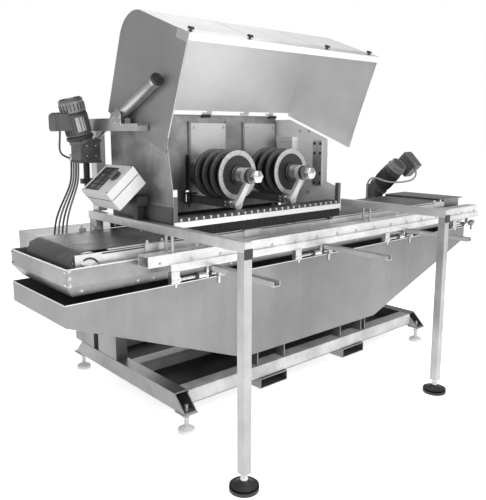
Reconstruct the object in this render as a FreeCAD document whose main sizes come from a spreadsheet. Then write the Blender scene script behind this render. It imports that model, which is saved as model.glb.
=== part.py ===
"""Belt-fed stone grinding machine with two multi-wheel arbors under a hinged hood.

Frame: millimetres, +X along the belt, +Y to the rear, +Z up; the origin is on the floor
under the middle of the overall box.
"""
import FreeCAD, Part

import math
import os

import Sketcher
from FreeCAD import Placement, Rotation, Vector

doc = FreeCAD.newDocument("StoneGrindingMachine")
sheet = doc.addObject("Spreadsheet::Sheet", "Dims")

# ---------------------------------------------------------------- driving dimensions (mm)
DIMENSIONS = {
    # square tube arms and legs
    "tube_side": 40, "tube_wall": 3, "arm_front": -812, "arm_rear": 430, "arm_top": 1026,
    "arm_left_mid": -1108, "arm_right_mid": 316, "leg_foot_gap": 72, "cap_thick": 3,
    # welded base
    "beam_left_mid": -1005, "beam_right_mid": 960, "beam_wide": 74, "beam_low": 108,
    "beam_top": 192, "beam_front": -294, "beam_rear": 835, "beam_wall": 5,
    "cross_wide": 80, "cross_tall": 72, "cross_front_mid": -186, "cross_mid_mid": 270,
    "cross_rear_mid": 700, "fork_wide": 203, "fork_tall": 54, "fork_wall": 4,
    "fork_left_mid": -398, "fork_right_mid": 291, "fork_front": -240, "fork_rear": 760,
    "rib_thick": 6, "rib_deep": 60, "foot_front": -255, "foot_rear": 812,
    "foot_plate_side": 80, "foot_plate_thick": 8, "pad_radius": 42, "pad_tall": 26,
    "spindle_radius": 10, "nut_radius": 15, "nut_tall": 16,
    "leg_pad_radius": 62, "leg_pad_tall": 28,
    # sump pan
    "pan_half": 1585, "pan_top": 739, "pan_end_low": 642, "pan_low": 271,
    "pan_flat_left": -611, "pan_flat_right": 505, "pan_front": -229, "pan_rear": 329,
    "sheet_thick": 3,
    # conveyor tray, rails and belt
    "tray_half": 1579, "tray_front": -247, "tray_rear": 343, "tray_top": 890,
    "tray_crease": 815, "tray_low": 765, "tray_inset": 35,
    "rail_wide": 80, "rail_low": 858, "rail_top": 908, "rail_left": -1245,
    "rail_right": 1575, "rail_wall": 4, "lip_left": -1135, "lip_low": 828, "lip_deep": 12,
    "roller_height": 868, "roller_radius": 74.7, "belt_inner": 75, "belt_thick": 5,
    "belt_left_mid": -1462, "belt_right_mid": 1450, "belt_front": -192, "belt_rear": 254,
    "roller_shaft": 15, "shaft_clearance": 0.05, "side_plate_thick": 6,
    "side_plate_gap": 14, "side_plate_low": 835, "side_plate_top": 935, "bed_thick": 4,
    # housing over the belt
    "house_left": -1079, "house_right": 80, "house_front": -280, "house_rear": 255,
    "house_low": 992, "house_top": 1527, "window_wide": 176, "window_low": 1040,
    "window_top": 1308, "sill_low": 1010, "sill_top": 1048, "sill_deep": 80,
    "curtain_low": 958, "curtain_thick": 4,
    # hood
    "hood_left": -1085, "hood_right": 195, "hood_sheet": 2, "hood_tilt": 21,
    "hood_back": 526, "hood_depth": 536, "hood_round": 150, "hood_foot_y": 262,
    "hood_foot_z": 1536, "lip_tall": 27, "lip_thick": 16,
    # grinding head
    "arbor_left": -532, "arbor_right": -134, "arbor_height": 1212, "wheel_radius": 131,
    "wheel_thick": 14, "wheel_pitch": 66, "wheel_front": -92, "wheel_bore": 25,
    "journal_radius": 34, "arbor_front": -250, "spindle_nose": 75, "motor_radius": 90,
    # clamp units below the front rail
    "clamp_long": 300, "clamp_right": -839, "clamp_pitch": 785, "clamp_height": 788,
    "clamp_mid_y": -334,
}
for row, (alias, value) in enumerate(DIMENSIONS.items(), start=1):
    sheet.set("A%d" % row, alias)
    sheet.set("B%d" % row, str(value))
    sheet.setAlias("B%d" % row, alias)
doc.recompute()


class Size:
    """A length with its value and the sheet expression that keeps it."""

    def __init__(self, value, text):
        self.value, self.text = float(value), text

    def _join(self, other, sign, value):
        return Size(value, "(%s %s %s)" % (self.text, sign, size(other).text))

    def __add__(self, other):
        return self._join(other, "+", self.value + size(other).value)

    def __sub__(self, other):
        return self._join(other, "-", self.value - size(other).value)

    def __mul__(self, other):
        return self._join(other, "*", self.value * size(other).value)

    def __truediv__(self, other):
        return self._join(other, "/", self.value / size(other).value)

    def __neg__(self):
        return self * -1


def size(value):
    return value if isinstance(value, Size) else Size(value, repr(float(value)))


class Dims:
    """Reads a driving dimension from the sheet by its alias."""

    def __getattr__(self, alias):
        return Size(DIMENSIONS[alias], "Dims." + alias)


d = Dims()


def sine(angle):
    return Size(math.sin(math.radians(angle.value)), "sin(%s * 1 deg)" % angle.text)


def cosine(angle):
    return Size(math.cos(math.radians(angle.value)), "cos(%s * 1 deg)" % angle.text)


# ---------------------------------------------------------------- building blocks
def bind(obj, **sizes):
    for prop, value in sizes.items():
        setattr(obj, prop, size(value).value)
        obj.setExpression(prop, size(value).text)


def place(obj, corner, rotation=None):
    base = [size(value) for value in corner]
    obj.Placement = Placement(Vector(*[b.value for b in base]), rotation or Rotation())
    for axis, value in zip("xyz", base):
        obj.setExpression("Placement.Base." + axis, value.text)


def box(label, x_span, y_span, z_span):
    """A block from its low and high coordinate on each axis."""
    obj = doc.addObject("Part::Box", "Block")
    obj.Label = label
    spans = [[size(a), size(b)] for a, b in (x_span, y_span, z_span)]
    bind(obj, Length=spans[0][1] - spans[0][0], Width=spans[1][1] - spans[1][0],
         Height=spans[2][1] - spans[2][0])
    place(obj, [span[0] for span in spans])
    return obj


TURN = {"X": Rotation(Vector(0, 1, 0), 90), "Y": Rotation(Vector(1, 0, 0), -90), "Z": Rotation()}


def rod(label, axis, start, length, radius, rotation=None):
    """A cylinder that starts at a point and runs along an axis."""
    obj = doc.addObject("Part::Cylinder", "Round")
    obj.Label = label
    bind(obj, Radius=radius, Height=length)
    place(obj, start, rotation or TURN[axis])
    return obj


def fuse(label, pieces):
    obj = doc.addObject("Part::MultiFuse", "Joined")
    obj.Label, obj.Shapes, obj.Refine = label, pieces, True
    return obj


def cut(label, base, tools):
    obj = doc.addObject("Part::Cut", "Opened")
    tool = tools[0] if len(tools) == 1 else fuse(label + " cutters", tools)
    obj.Label, obj.Base, obj.Tool, obj.Refine = label, base, tool, True
    return obj


def common(label, first, second):
    obj = doc.addObject("Part::Common", "Shared")
    obj.Label, obj.Base, obj.Tool = label, first, second
    return obj


def group(label, pieces):
    """Separate solids that share one node."""
    obj = doc.addObject("Part::Compound", "Group")
    obj.Label, obj.Links = label, pieces
    return obj


PLANES = {"XY": "XY_Plane", "XZ": "XZ_Plane", "YZ": "YZ_Plane"}


def prism(label, plane, outline, low, high, rounded=None, radius=None):
    """A PartDesign body padded from a closed outline, low to high across its plane."""
    body = doc.addObject("PartDesign::Body", "Body")
    body.Label = label
    origin_plane = [f for f in body.Origin.OriginFeatures if f.Role == PLANES[plane]][0]
    sketch = body.newObject("Sketcher::SketchObject", "Outline")
    sketch.AttachmentSupport, sketch.MapMode = [(origin_plane, "")], "FlatFace"
    points = [(size(u), size(v)) for u, v in outline]
    count = len(points)
    for i in range(count):
        (u1, v1), (u2, v2) = points[i], points[(i + 1) % count]
        sketch.addGeometry(Part.LineSegment(Vector(u1.value, v1.value, 0),
                                            Vector(u2.value, v2.value, 0)))
    for i in range(count):
        sketch.addConstraint(Sketcher.Constraint("Coincident", i, 2, (i + 1) % count, 1))
    for i, (u, v) in enumerate(points):
        for kind, value in (("DistanceX", u), ("DistanceY", v)):
            index = sketch.addConstraint(Sketcher.Constraint(kind, -1, 1, i, 1, value.value))
            sketch.setExpression("Constraints[%d]" % index, value.text)
    low, high = size(low), size(high)
    pad = body.newObject("PartDesign::Pad", "Pad")
    pad.Profile = sketch
    pad.Reversed = plane == "XZ"
    bind(pad, Length=high - low)
    offsets = {"XY": (0, 0, low), "XZ": (0, low, 0), "YZ": (low, 0, 0)}
    place(body, offsets[plane])
    if rounded is not None:
        doc.recompute()
        u, v = points[rounded]
        names = edges_at(pad.Shape, plane, u.value, v.value)
        fillet = body.newObject("PartDesign::Fillet", "Corner")
        fillet.Base = (pad, names)
        bind(fillet, Radius=radius)
        body.Tip = fillet
    return body


def edges_at(shape, plane, u, v):
    """Names of the edges that cross the outline's plane at one of its corners."""
    names = []
    for number, edge in enumerate(shape.Edges, start=1):
        ends = [vertex.Point for vertex in edge.Vertexes]
        flat = [{"XY": (p.x, p.y), "XZ": (p.x, p.z), "YZ": (p.y, p.z)}[plane] for p in ends]
        if len(flat) == 2 and all(math.dist(point, (u, v)) < 0.01 for point in flat):
            names.append("Edge%d" % number)
    return names


def around(middle, wide):
    """The span of a given width about a middle coordinate."""
    middle, wide = size(middle), size(wide)
    return middle - wide / 2, middle + wide / 2


def hollow(label, x_span, y_span, z_span, wall, along):
    """A rectangular tube that is open at both ends along one axis."""
    spans = {"X": x_span, "Y": y_span, "Z": z_span}
    inner = {}
    for axis, (low, high) in spans.items():
        inset = size(wall) * (-1 if axis == along else 1)
        inner[axis] = (size(low) + inset, size(high) - inset)
    return cut(label, box(label + " outside", x_span, y_span, z_span),
               [box(label + " bore", inner["X"], inner["Y"], inner["Z"])])


# ---------------------------------------------------------------- welded base and feet
BEAM_MIDS = {"left": d.beam_left_mid, "right": d.beam_right_mid}
beams = []
for side, middle in BEAM_MIDS.items():
    tall = d.beam_top - d.beam_low
    low, high = around(middle, d.beam_wide)
    wall = d.beam_wall
    outline = [(d.beam_front, d.beam_low), (d.beam_rear, d.beam_low),
               (d.beam_rear - tall, d.beam_top), (d.beam_front + tall, d.beam_top)]
    outside = prism("beam outside " + side, "YZ", outline, low, high)
    bore = box("beam bore " + side, (low + wall, high - wall),
               (d.beam_front - 10, d.beam_rear + 10), (d.beam_low + wall, d.beam_top - wall))
    beams.append(cut("beam " + side, outside, [bore]))

cross_x = (d.beam_left_mid + d.beam_wide / 2, d.beam_right_mid - d.beam_wide / 2)
cross_z = (d.beam_top - d.cross_tall, d.beam_top)
CROSS_MIDS = [d.cross_front_mid, d.cross_mid_mid, d.cross_rear_mid]
crosses = [
    hollow("cross %d" % i, cross_x, around(middle, d.cross_wide), cross_z, d.beam_wall, "X")
    for i, middle in enumerate(CROSS_MIDS)]
# a thin floor sheet closes each opening between the cross beams
floors = [
    box("base floor", cross_x, (near + d.cross_wide / 2, far - d.cross_wide / 2),
        (cross_z[0], cross_z[0] + 2)) for near, far in zip(CROSS_MIDS, CROSS_MIDS[1:])]
group("base_cross_beams", crosses + floors)

fork_z = (cross_z[0] - d.fork_tall, cross_z[0])
FORK_MIDS = [d.fork_left_mid, d.fork_right_mid]
group("fork_pockets", [
    hollow("fork %d" % i, around(middle, d.fork_wide), (d.fork_front, d.fork_rear), fork_z,
           d.fork_wall, "Y") for i, middle in enumerate(FORK_MIDS)])

rib_x = [d.fork_left_mid - 162] + [m + s * d.fork_wide / 2 for m in FORK_MIDS
                                   for s in (size(-1), size(1))] + [d.fork_right_mid + 139]
group("pan_support_ribs", [
    box("rib", around(x, d.rib_thick), around(y, d.rib_deep), (d.beam_top, d.pan_low))
    for x in rib_x for y in (d.cross_front_mid, d.cross_mid_mid)])

FOOT_SPOTS = [(x, y) for x in BEAM_MIDS.values() for y in (d.foot_front, d.foot_rear)]
LEG_MID_Y = d.arm_front + d.tube_side / 2
LEG_SPOTS = [(d.arm_left_mid, LEG_MID_Y), (d.arm_right_mid, LEG_MID_Y)]
plate_low = d.beam_low - d.foot_plate_thick
foot_plates = [box("foot plate", around(x, d.foot_plate_side), around(y, d.foot_plate_side),
                   (plate_low, d.beam_low)) for x, y in FOOT_SPOTS]
group("base_side_beams", [fuse("side beam", [beam] + foot_plates[2 * i:2 * i + 2])
                          for i, beam in enumerate(beams)])


def levelling_spindle(spot, pad_top, top):
    """A threaded spindle with the lock nut that bears on what it carries."""
    x, y = spot
    screw = rod("screw", "Z", (x, y, pad_top), top - pad_top, d.spindle_radius)
    nut = doc.addObject("Part::Prism", "Nut")
    bind(nut, Circumradius=d.nut_radius, Height=d.nut_tall)
    place(nut, (x, y, top - d.nut_tall))
    return fuse("levelling spindle", [screw, nut])


group("levelling_spindles",
      [levelling_spindle(spot, d.pad_tall, plate_low) for spot in FOOT_SPOTS]
      + [levelling_spindle(spot, d.leg_pad_tall, d.leg_foot_gap) for spot in LEG_SPOTS])


def foot_pad(spot, radius, tall):
    """A round pad with a chamfered shoulder."""
    disc = rod("pad disc", "Z", (*spot, 0), tall * 0.5, radius)
    cone = doc.addObject("Part::Cone", "Shoulder")
    bind(cone, Radius1=radius, Radius2=radius * 0.4, Height=tall * 0.5)
    place(cone, (*spot, tall * 0.5))
    return fuse("pad", [disc, cone])


group("base_foot_pads", [foot_pad(spot, d.pad_radius, d.pad_tall) for spot in FOOT_SPOTS])
group("leg_foot_pads", [foot_pad(s, d.leg_pad_radius, d.leg_pad_tall) for s in LEG_SPOTS])

# ---------------------------------------------------------------- arms, legs and posts
leg_y = (d.arm_front, d.arm_front + d.tube_side)
arm_low = d.arm_top - d.tube_side
group("front_legs", [
    fuse("leg", [
        hollow("leg tube", around(x, d.tube_side), leg_y, (d.leg_foot_gap, arm_low),
               d.tube_wall, "Z"),
        box("leg end", around(x, d.tube_side - d.tube_wall), around(y, d.tube_side - d.tube_wall),
            (d.leg_foot_gap, d.leg_foot_gap + 6))]) for x, y in LEG_SPOTS])
ARMS = {"left": d.arm_left_mid, "right": d.arm_right_mid}
arms = [
    hollow("arm", around(x, d.tube_side), (d.arm_front, d.arm_rear), (arm_low, d.arm_top),
           d.tube_wall, "Y") for x in ARMS.values()]
caps = [
    fuse("cap", [
        box("cap face", around(x, d.tube_side - 3), (d.arm_front - d.cap_thick, d.arm_front),
            (arm_low + 1.5, d.arm_top - 1.5)),
        box("cap plug", around(x, d.tube_side - d.tube_wall * 2),
            (d.arm_front, d.arm_front + 12),
            (arm_low + d.tube_wall, d.arm_top - d.tube_wall))]) for x in ARMS.values()]
group("cross_arms", arms + caps)

front_rail_y = (d.tray_front - d.rail_wide, d.tray_front)
rear_rail_y = (d.tray_rear, d.tray_rear + d.rail_wide)
rail_z = (d.rail_low, d.rail_top)
rails = [hollow("rail", (d.rail_left, d.rail_right), y, rail_z, d.rail_wall, "X")
         for y in (front_rail_y, rear_rail_y)]
lip_y = (front_rail_y[0] - d.lip_deep, front_rail_y[0])
lip_outline = [(lip_y[0], d.lip_low), (lip_y[0] + d.sheet_thick, d.lip_low),
               (lip_y[0] + d.sheet_thick, d.rail_low), (lip_y[1], d.rail_low),
               (lip_y[1], d.rail_low + d.sheet_thick), (lip_y[0], d.rail_low + d.sheet_thick)]
group("side_rails", rails + [prism("lip", "YZ", lip_outline, d.lip_left, d.rail_right)])
rear_posts = [
    hollow("post", around(x, d.tube_side), around(rear_rail_y[0] + d.rail_wide / 2,
                                                  d.rail_wide - 10),
           (d.rail_top, arm_low), d.tube_wall, "Z") for x in ARMS.values()]
studs = [
    rod("stud", "Z", (x, front_rail_y[0] + d.rail_wide / 2 + step, d.rail_top),
        arm_low - d.rail_top, 8) for x in ARMS.values() for step in (-24, 24)]
group("arm_posts", rear_posts + studs)

outriggers = []
for i in range(3):
    mid = d.clamp_right - 61 + d.clamp_pitch * i
    low, high = around(mid, 40)
    channel = [(low, 806), (high, 806), (high, 828), (high - 3, 828), (high - 3, 809),
               (low + 3, 809), (low + 3, 828), (low, 828)]
    arm = prism("outrigger", "XZ", channel, -758, front_rail_y[0] + 60)
    hanger = box("hanger", (low + 3, high - 3), (front_rail_y[0] + 8, front_rail_y[0] + 60),
                 (809, d.rail_low))
    outriggers.append(fuse("outrigger arm", [arm, hanger]))
group("outrigger_channels", outriggers)

# ---------------------------------------------------------------- sump pan
pan_outline = [(-d.pan_half, d.pan_top), (-d.pan_half, d.pan_end_low),
               (d.pan_flat_left, d.pan_low), (d.pan_flat_right, d.pan_low),
               (d.pan_half, d.pan_end_low), (d.pan_half, d.pan_top)]
group("sump_side_plates", [
    prism("sump front", "XZ", pan_outline, d.pan_front, d.pan_front + d.sheet_thick),
    prism("sump rear", "XZ", pan_outline, d.pan_rear - d.sheet_thick, d.pan_rear)])
inner = [(d.pan_half - d.sheet_thick, d.pan_top),
         (d.pan_half - d.sheet_thick, d.pan_end_low + 2),
         (d.pan_flat_right - 1, d.pan_low + d.sheet_thick),
         (d.pan_flat_left + 1, d.pan_low + d.sheet_thick),
         (d.sheet_thick - d.pan_half, d.pan_end_low + 2),
         (d.sheet_thick - d.pan_half, d.pan_top)]
prism("sump_floor_sheet", "XZ", pan_outline + inner, d.pan_front + d.sheet_thick,
      d.pan_rear - d.sheet_thick)

# ---------------------------------------------------------------- conveyor tray
mitre = 100


def tray_wall(label, plane, edge, inward, span, plan_outline):
    """A folded tray wall: an upright band over a lip that slopes inwards, mitred."""
    thick = d.sheet_thick * inward
    inset = d.tray_inset * inward
    outline = [(edge, d.tray_top), (edge, d.tray_crease), (edge + inset, d.tray_low),
               (edge + inset + thick * 1.2, d.tray_low),
               (edge + thick, d.tray_crease + 0.6), (edge + thick, d.tray_top)]
    folded = prism(label + " folded", plane, outline, -span, span)
    plan = prism(label + " plan", "XY", plan_outline, d.tray_low - 5, d.tray_top + 5)
    return common(label, folded, plan)


half, front, rear = d.tray_half, d.tray_front, d.tray_rear
long_walls, end_walls = [], []
for name, edge, inward in (("front", front, 1), ("rear", rear, -1)):
    step = size(mitre) * inward
    plan = [(-half, edge), (half, edge), (half - mitre, edge + step),
            (-half + mitre, edge + step)]
    long_walls.append(tray_wall("tray " + name, "YZ", edge, inward, half, plan))
for name, edge, inward in (("left", -half, 1), ("right", half, -1)):
    step = size(mitre) * inward
    plan = [(edge, front), (edge, rear), (edge + step, rear - mitre),
            (edge + step, front + mitre)]
    end_walls.append(tray_wall("tray " + name, "XZ", edge, inward, rear, plan))
group("tray_walls", long_walls + end_walls)

# ---------------------------------------------------------------- belt and rollers
def stadium(label, grow, y_span):
    """The belt's outer or inner racetrack, with its round ends on the two rollers."""
    radius = d.belt_inner + grow
    left, right = d.belt_left_mid, d.belt_right_mid
    low, high = y_span
    ends = [rod("end", "Y", (x, low, d.roller_height), high - low, radius)
            for x in (left, right)]
    middle = box("run", (left, right), y_span, (d.roller_height - radius,
                                                d.roller_height + radius))
    return fuse(label, [middle] + ends)


belt_y = (d.belt_front, d.belt_rear)
cut("conveyor_belt", stadium("belt outside", d.belt_thick, belt_y),
    [stadium("belt inside", size(0), (d.belt_front - 5, d.belt_rear + 5))])
plate_y = [(d.belt_front - d.side_plate_gap - d.side_plate_thick,
            d.belt_front - d.side_plate_gap),
           (d.belt_rear + d.side_plate_gap,
            d.belt_rear + d.side_plate_gap + d.side_plate_thick)]
ROLLER_MIDS = {"tail": d.belt_left_mid, "drive": d.belt_right_mid}
side_plates = []
for low, high in plate_y:
    blank = box("side plate blank", (d.belt_left_mid - 60, d.belt_right_mid + 60),
                (low, high), (d.side_plate_low, d.side_plate_top))
    bores = [rod("shaft bore", "Y", (x, low - 5, d.roller_height), high - low + 10,
                 d.roller_shaft + d.shaft_clearance) for x in ROLLER_MIDS.values()]
    side_plates.append(cut("side plate", blank, bores))
bearings = []
BEARING_DEEP = 16
for x in ROLLER_MIDS.values():
    for low in (plate_y[0][0] - BEARING_DEEP, plate_y[1][1]):
        block = box("bearing block", around(x, 70), (low, low + BEARING_DEEP),
                    around(d.roller_height, 56))
        bore = rod("bearing bore", "Y", (x, low - 5, d.roller_height), BEARING_DEEP + 10,
                   d.roller_shaft + d.shaft_clearance)
        bearings.append(cut("bearing", block, [bore]))
bed_top = d.roller_height + d.belt_inner
bed = box("bed", (d.belt_left_mid + 95, d.belt_right_mid - 95),
          (plate_y[0][1], plate_y[1][0]), (bed_top - d.bed_thick, bed_top))
ties = [box("tie", around(x, 40), span, (848, 880))
        for x in (-1200, -600, 0, 600, 1200)
        for span in ((d.tray_front + d.sheet_thick, plate_y[0][0]),
                     (plate_y[1][1], d.tray_rear - d.sheet_thick))]
group("belt_frame", side_plates + [bed] + ties + bearings)
for name, x in ROLLER_MIDS.items():
    drum = rod("drum", "Y", (x, d.belt_front - 6, d.roller_height),
               d.belt_rear - d.belt_front + 12, d.roller_radius)
    shaft = rod("shaft", "Y", (x, plate_y[0][0] - 12, d.roller_height),
                plate_y[1][1] - plate_y[0][0] + 24, d.roller_shaft)
    fuse(name + "_roller", [drum, shaft])

# ---------------------------------------------------------------- housing
wall_x = (d.house_left, d.house_left + d.sheet_thick)
left_outline = [(d.house_front, d.house_low), (d.house_rear, d.house_low),
                (d.house_rear, d.house_top - 20), (d.house_front + 60, d.house_top - 40),
                (d.house_front, 1180)]
band = box("lower band", (d.house_left - 3, d.house_left),
           (d.house_front + 6, d.house_rear - 30), (d.arm_top + 6, 1118))
fuse("housing_left_wall", [prism("left sheet", "YZ", left_outline, *wall_x), band])
right_outline = [(d.house_front, d.house_low), (d.house_rear, d.house_low),
                 (d.house_rear, d.house_top - 20), (d.house_rear - 130, d.house_top - 20),
                 (d.house_front + 104, 1393), (d.house_front + 104, 1150),
                 (d.house_front, 1120)]
prism("housing_right_wall", "YZ", right_outline, d.house_right - d.sheet_thick,
      d.house_right)
rear_y = (d.house_rear - d.sheet_thick, d.house_rear)
rear_x = (d.house_left + d.sheet_thick, d.house_right - d.sheet_thick)
ARBOR_MIDS = [d.arbor_left, d.arbor_right]
sheet_metal = box("rear sheet", rear_x, rear_y, (d.house_low, d.house_top))
flange = box("top flange", rear_x, (rear_y[0] - 12, rear_y[0]),
             (d.house_top - d.sheet_thick, d.house_top))
windows = [box("spindle window", around(x, d.window_wide), (rear_y[0] - 5, rear_y[1] + 5),
               (d.window_low, d.window_top)) for x in ARBOR_MIDS]
cut("housing_rear_wall", fuse("rear wall blank", [sheet_metal, flange]), windows)
guides = []
for x in ARBOR_MIDS:
    for edge in (x - 58, x + 192):
        outwards = -1 if edge.value < x.value else 1
        low, high = sorted([edge + 2 * outwards, edge + 12 * outwards],
                           key=lambda value: value.value)
        guides.append(box("guide", (low, high), (rear_y[0] - 14, rear_y[0]), (1020, 1492)))
for x_span in ((-724, -702), (62, 84)):
    bar = box("slide bar", x_span, (rear_y[1] + 7, rear_y[1] + 37), (1000, 1500))
    blocks = [box("slide block", x_span, (rear_y[1], rear_y[1] + 7), z)
              for z in ((1000, 1012), (1440, 1468))]
    guides.append(fuse("slide", [bar] + blocks))
group("carriage_guides", guides)

sill_front = d.house_front
sill_outline = [(sill_front, d.sill_low), (sill_front + 3, d.sill_low),
                (sill_front + 3, d.sill_top - 3), (sill_front + d.sill_deep, d.sill_top - 3),
                (sill_front + d.sill_deep, d.sill_top), (sill_front, d.sill_top)]
slots = [box("slot", (x, x + 30), (sill_front + 16, sill_front + 34),
             (d.sill_top - 10, d.sill_top + 10))
         for x in [d.house_left + 22 + 52 * i for i in range(18)]]
posts = [box("post", (x, x + 22), (sill_front, sill_front + 22), (d.sill_top - 3, 1150))
         for x in (rear_x[0], rear_x[1] - 22)]
cut("housing_sill", fuse("sill and posts", [prism("sill blank", "YZ", sill_outline, *rear_x)]
                         + posts), slots)
curtain_y = (sill_front + 3, sill_front + 3 + d.curtain_thick)
box("rubber_curtain", rear_x, curtain_y, (d.curtain_low, d.sill_top - 12))
group("housing_brackets", [
    box("bracket", (d.arm_left_mid + d.tube_side / 2, d.house_left), around(y, 40),
        (d.house_low, 999)) for y in (-240, 0, 200)]
    + [box("stand", (d.house_right - 30, d.house_right - d.sheet_thick), y, (low, 999))
       for y, low in (((-224, plate_y[0][1]), d.side_plate_top),
                      ((rear_y[1], plate_y[1][1]), bed_top))])
cover = [box("cover", (1300, 1560), (plate_y[0][0] - 6, plate_y[1][1] + 6), (954, 960))]
for low in (plate_y[0][0] - 6, plate_y[1][1]):
    cover.append(box("cover flange", (1300, 1500), (low, low + 6), (900, 954)))
fuse("end_cover_plate", cover)

# ---------------------------------------------------------------- hood
tilt = d.hood_tilt
up_y, up_z = -sine(tilt), cosine(tilt)
hood_a = (d.hood_foot_y, d.hood_foot_z)


def from_foot(back, depth):
    """A point of the hood's side, up its back and forward along its depth."""
    return (hood_a[0] + up_y * back - up_z * depth, hood_a[1] + up_z * back + up_y * depth)


hood_outline = [from_foot(size(0), size(0)), from_foot(d.hood_back, size(0)),
                from_foot(d.hood_back, d.hood_depth), from_foot(size(0), d.hood_depth)]
ROUNDED_CORNER = 1
thin = d.hood_sheet
HINGE_Y, HINGE_Z, HINGE_R = d.hood_foot_y + 6, d.hood_foot_z + 2, 7
side_outline = [from_foot(size(0), thin), from_foot(d.hood_back - thin, thin),
                from_foot(d.hood_back - thin, d.hood_depth), from_foot(size(0), d.hood_depth)]
group("hood_side_plates", [
    prism("hood side", "YZ", side_outline, x, x + thin, ROUNDED_CORNER,
          d.hood_round - thin) for x in (d.hood_left, d.hood_right - thin)])
hood_block = prism("hood outside", "YZ", hood_outline, d.hood_left, d.hood_right,
                   ROUNDED_CORNER, d.hood_round)
past = size(20)
hollow_outline = [from_foot(-past, thin), from_foot(d.hood_back - thin, thin),
                  from_foot(d.hood_back - thin, d.hood_depth + past),
                  from_foot(-past, d.hood_depth + past)]
hood_hollow = prism("hood inside", "YZ", hollow_outline, d.hood_left - past,
                    d.hood_right + past, ROUNDED_CORNER, d.hood_round - thin)
skin = cut("skin", hood_block, [hood_hollow, box(
    "hinge relief", (d.hood_left - 5, d.hood_right + 5), (HINGE_Y - 14, HINGE_Y + 20),
    (HINGE_Z - 20, HINGE_Z + 14))])
lip = [from_foot(d.hood_back - thin - d.lip_tall, d.hood_depth - d.lip_thick),
       from_foot(d.hood_back - thin, d.hood_depth - d.lip_thick),
       from_foot(d.hood_back - thin, d.hood_depth),
       from_foot(d.hood_back - thin - d.lip_tall, d.hood_depth)]
group("hood_skin", [skin, prism("front lip", "YZ", lip, d.hood_left + thin,
                                d.hood_right - thin)])
HINGE_MIDS = [-900, -452, -170, 40]
wall_leaves, hood_leaves, pins = [], [], []
for x in HINGE_MIDS:
    knuckle = rod("knuckle", "X", (x - 30, HINGE_Y, HINGE_Z), 28, HINGE_R)
    leaf = box("leaf", (x - 30, x - 2), (rear_y[1], HINGE_Y - 3), (1470, HINGE_Z))
    wall_leaves.append(cut("wall leaf", fuse("wall leaf blank", [knuckle, leaf]),
                           [rod("bore", "X", (x - 40, HINGE_Y, HINGE_Z), 80, 3.05)]))
    barrel = rod("barrel", "X", (x, HINGE_Y, HINGE_Z), 28, HINGE_R)
    wing = prism("wing", "YZ", [
        (HINGE_Y - 2, HINGE_Z), (HINGE_Y + 6, HINGE_Z + 2),
        from_foot(size(60), size(-4)), from_foot(size(60), size(0)),
        from_foot(size(6), size(0))], x, x + 28)
    hood_leaves.append(fuse("hood leaf", [barrel, wing,
                                          rod("pin", "X", (x - 32, HINGE_Y, HINGE_Z), 60, 3)]))
group("hinge_wall_leaves", wall_leaves)
group("hinge_hood_leaves", hood_leaves)

# ---------------------------------------------------------------- grinding head
FRAME_Y = (rear_y[1] + 7, rear_y[1] + 27)
LIFT_X, LIFT_Y = size(-1190), size(309)
BRACKET_Z = (size(1180), size(1205))
plate_blank = [box("head plate", (-700, 60), FRAME_Y, (1110, 1380)),
               box("head rib", (-700, -640), (FRAME_Y[1], 325), BRACKET_Z),
               box("lift arm", (LIFT_X - 30, -700), (296, 325), BRACKET_Z)]
NECK_RADIUS = size(56)
frame_bores = [rod("spindle seat", "Y", (x, FRAME_Y[0] - 5, d.arbor_height), 40,
                   NECK_RADIUS) for x in ARBOR_MIDS]
lift_screw = rod("lift screw", "Z", (LIFT_X, LIFT_Y, BRACKET_Z[0] - 20), 1390 - 1160, 14)
cut("head_frame", fuse("head blank", plate_blank + [lift_screw]), frame_bores)

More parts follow.
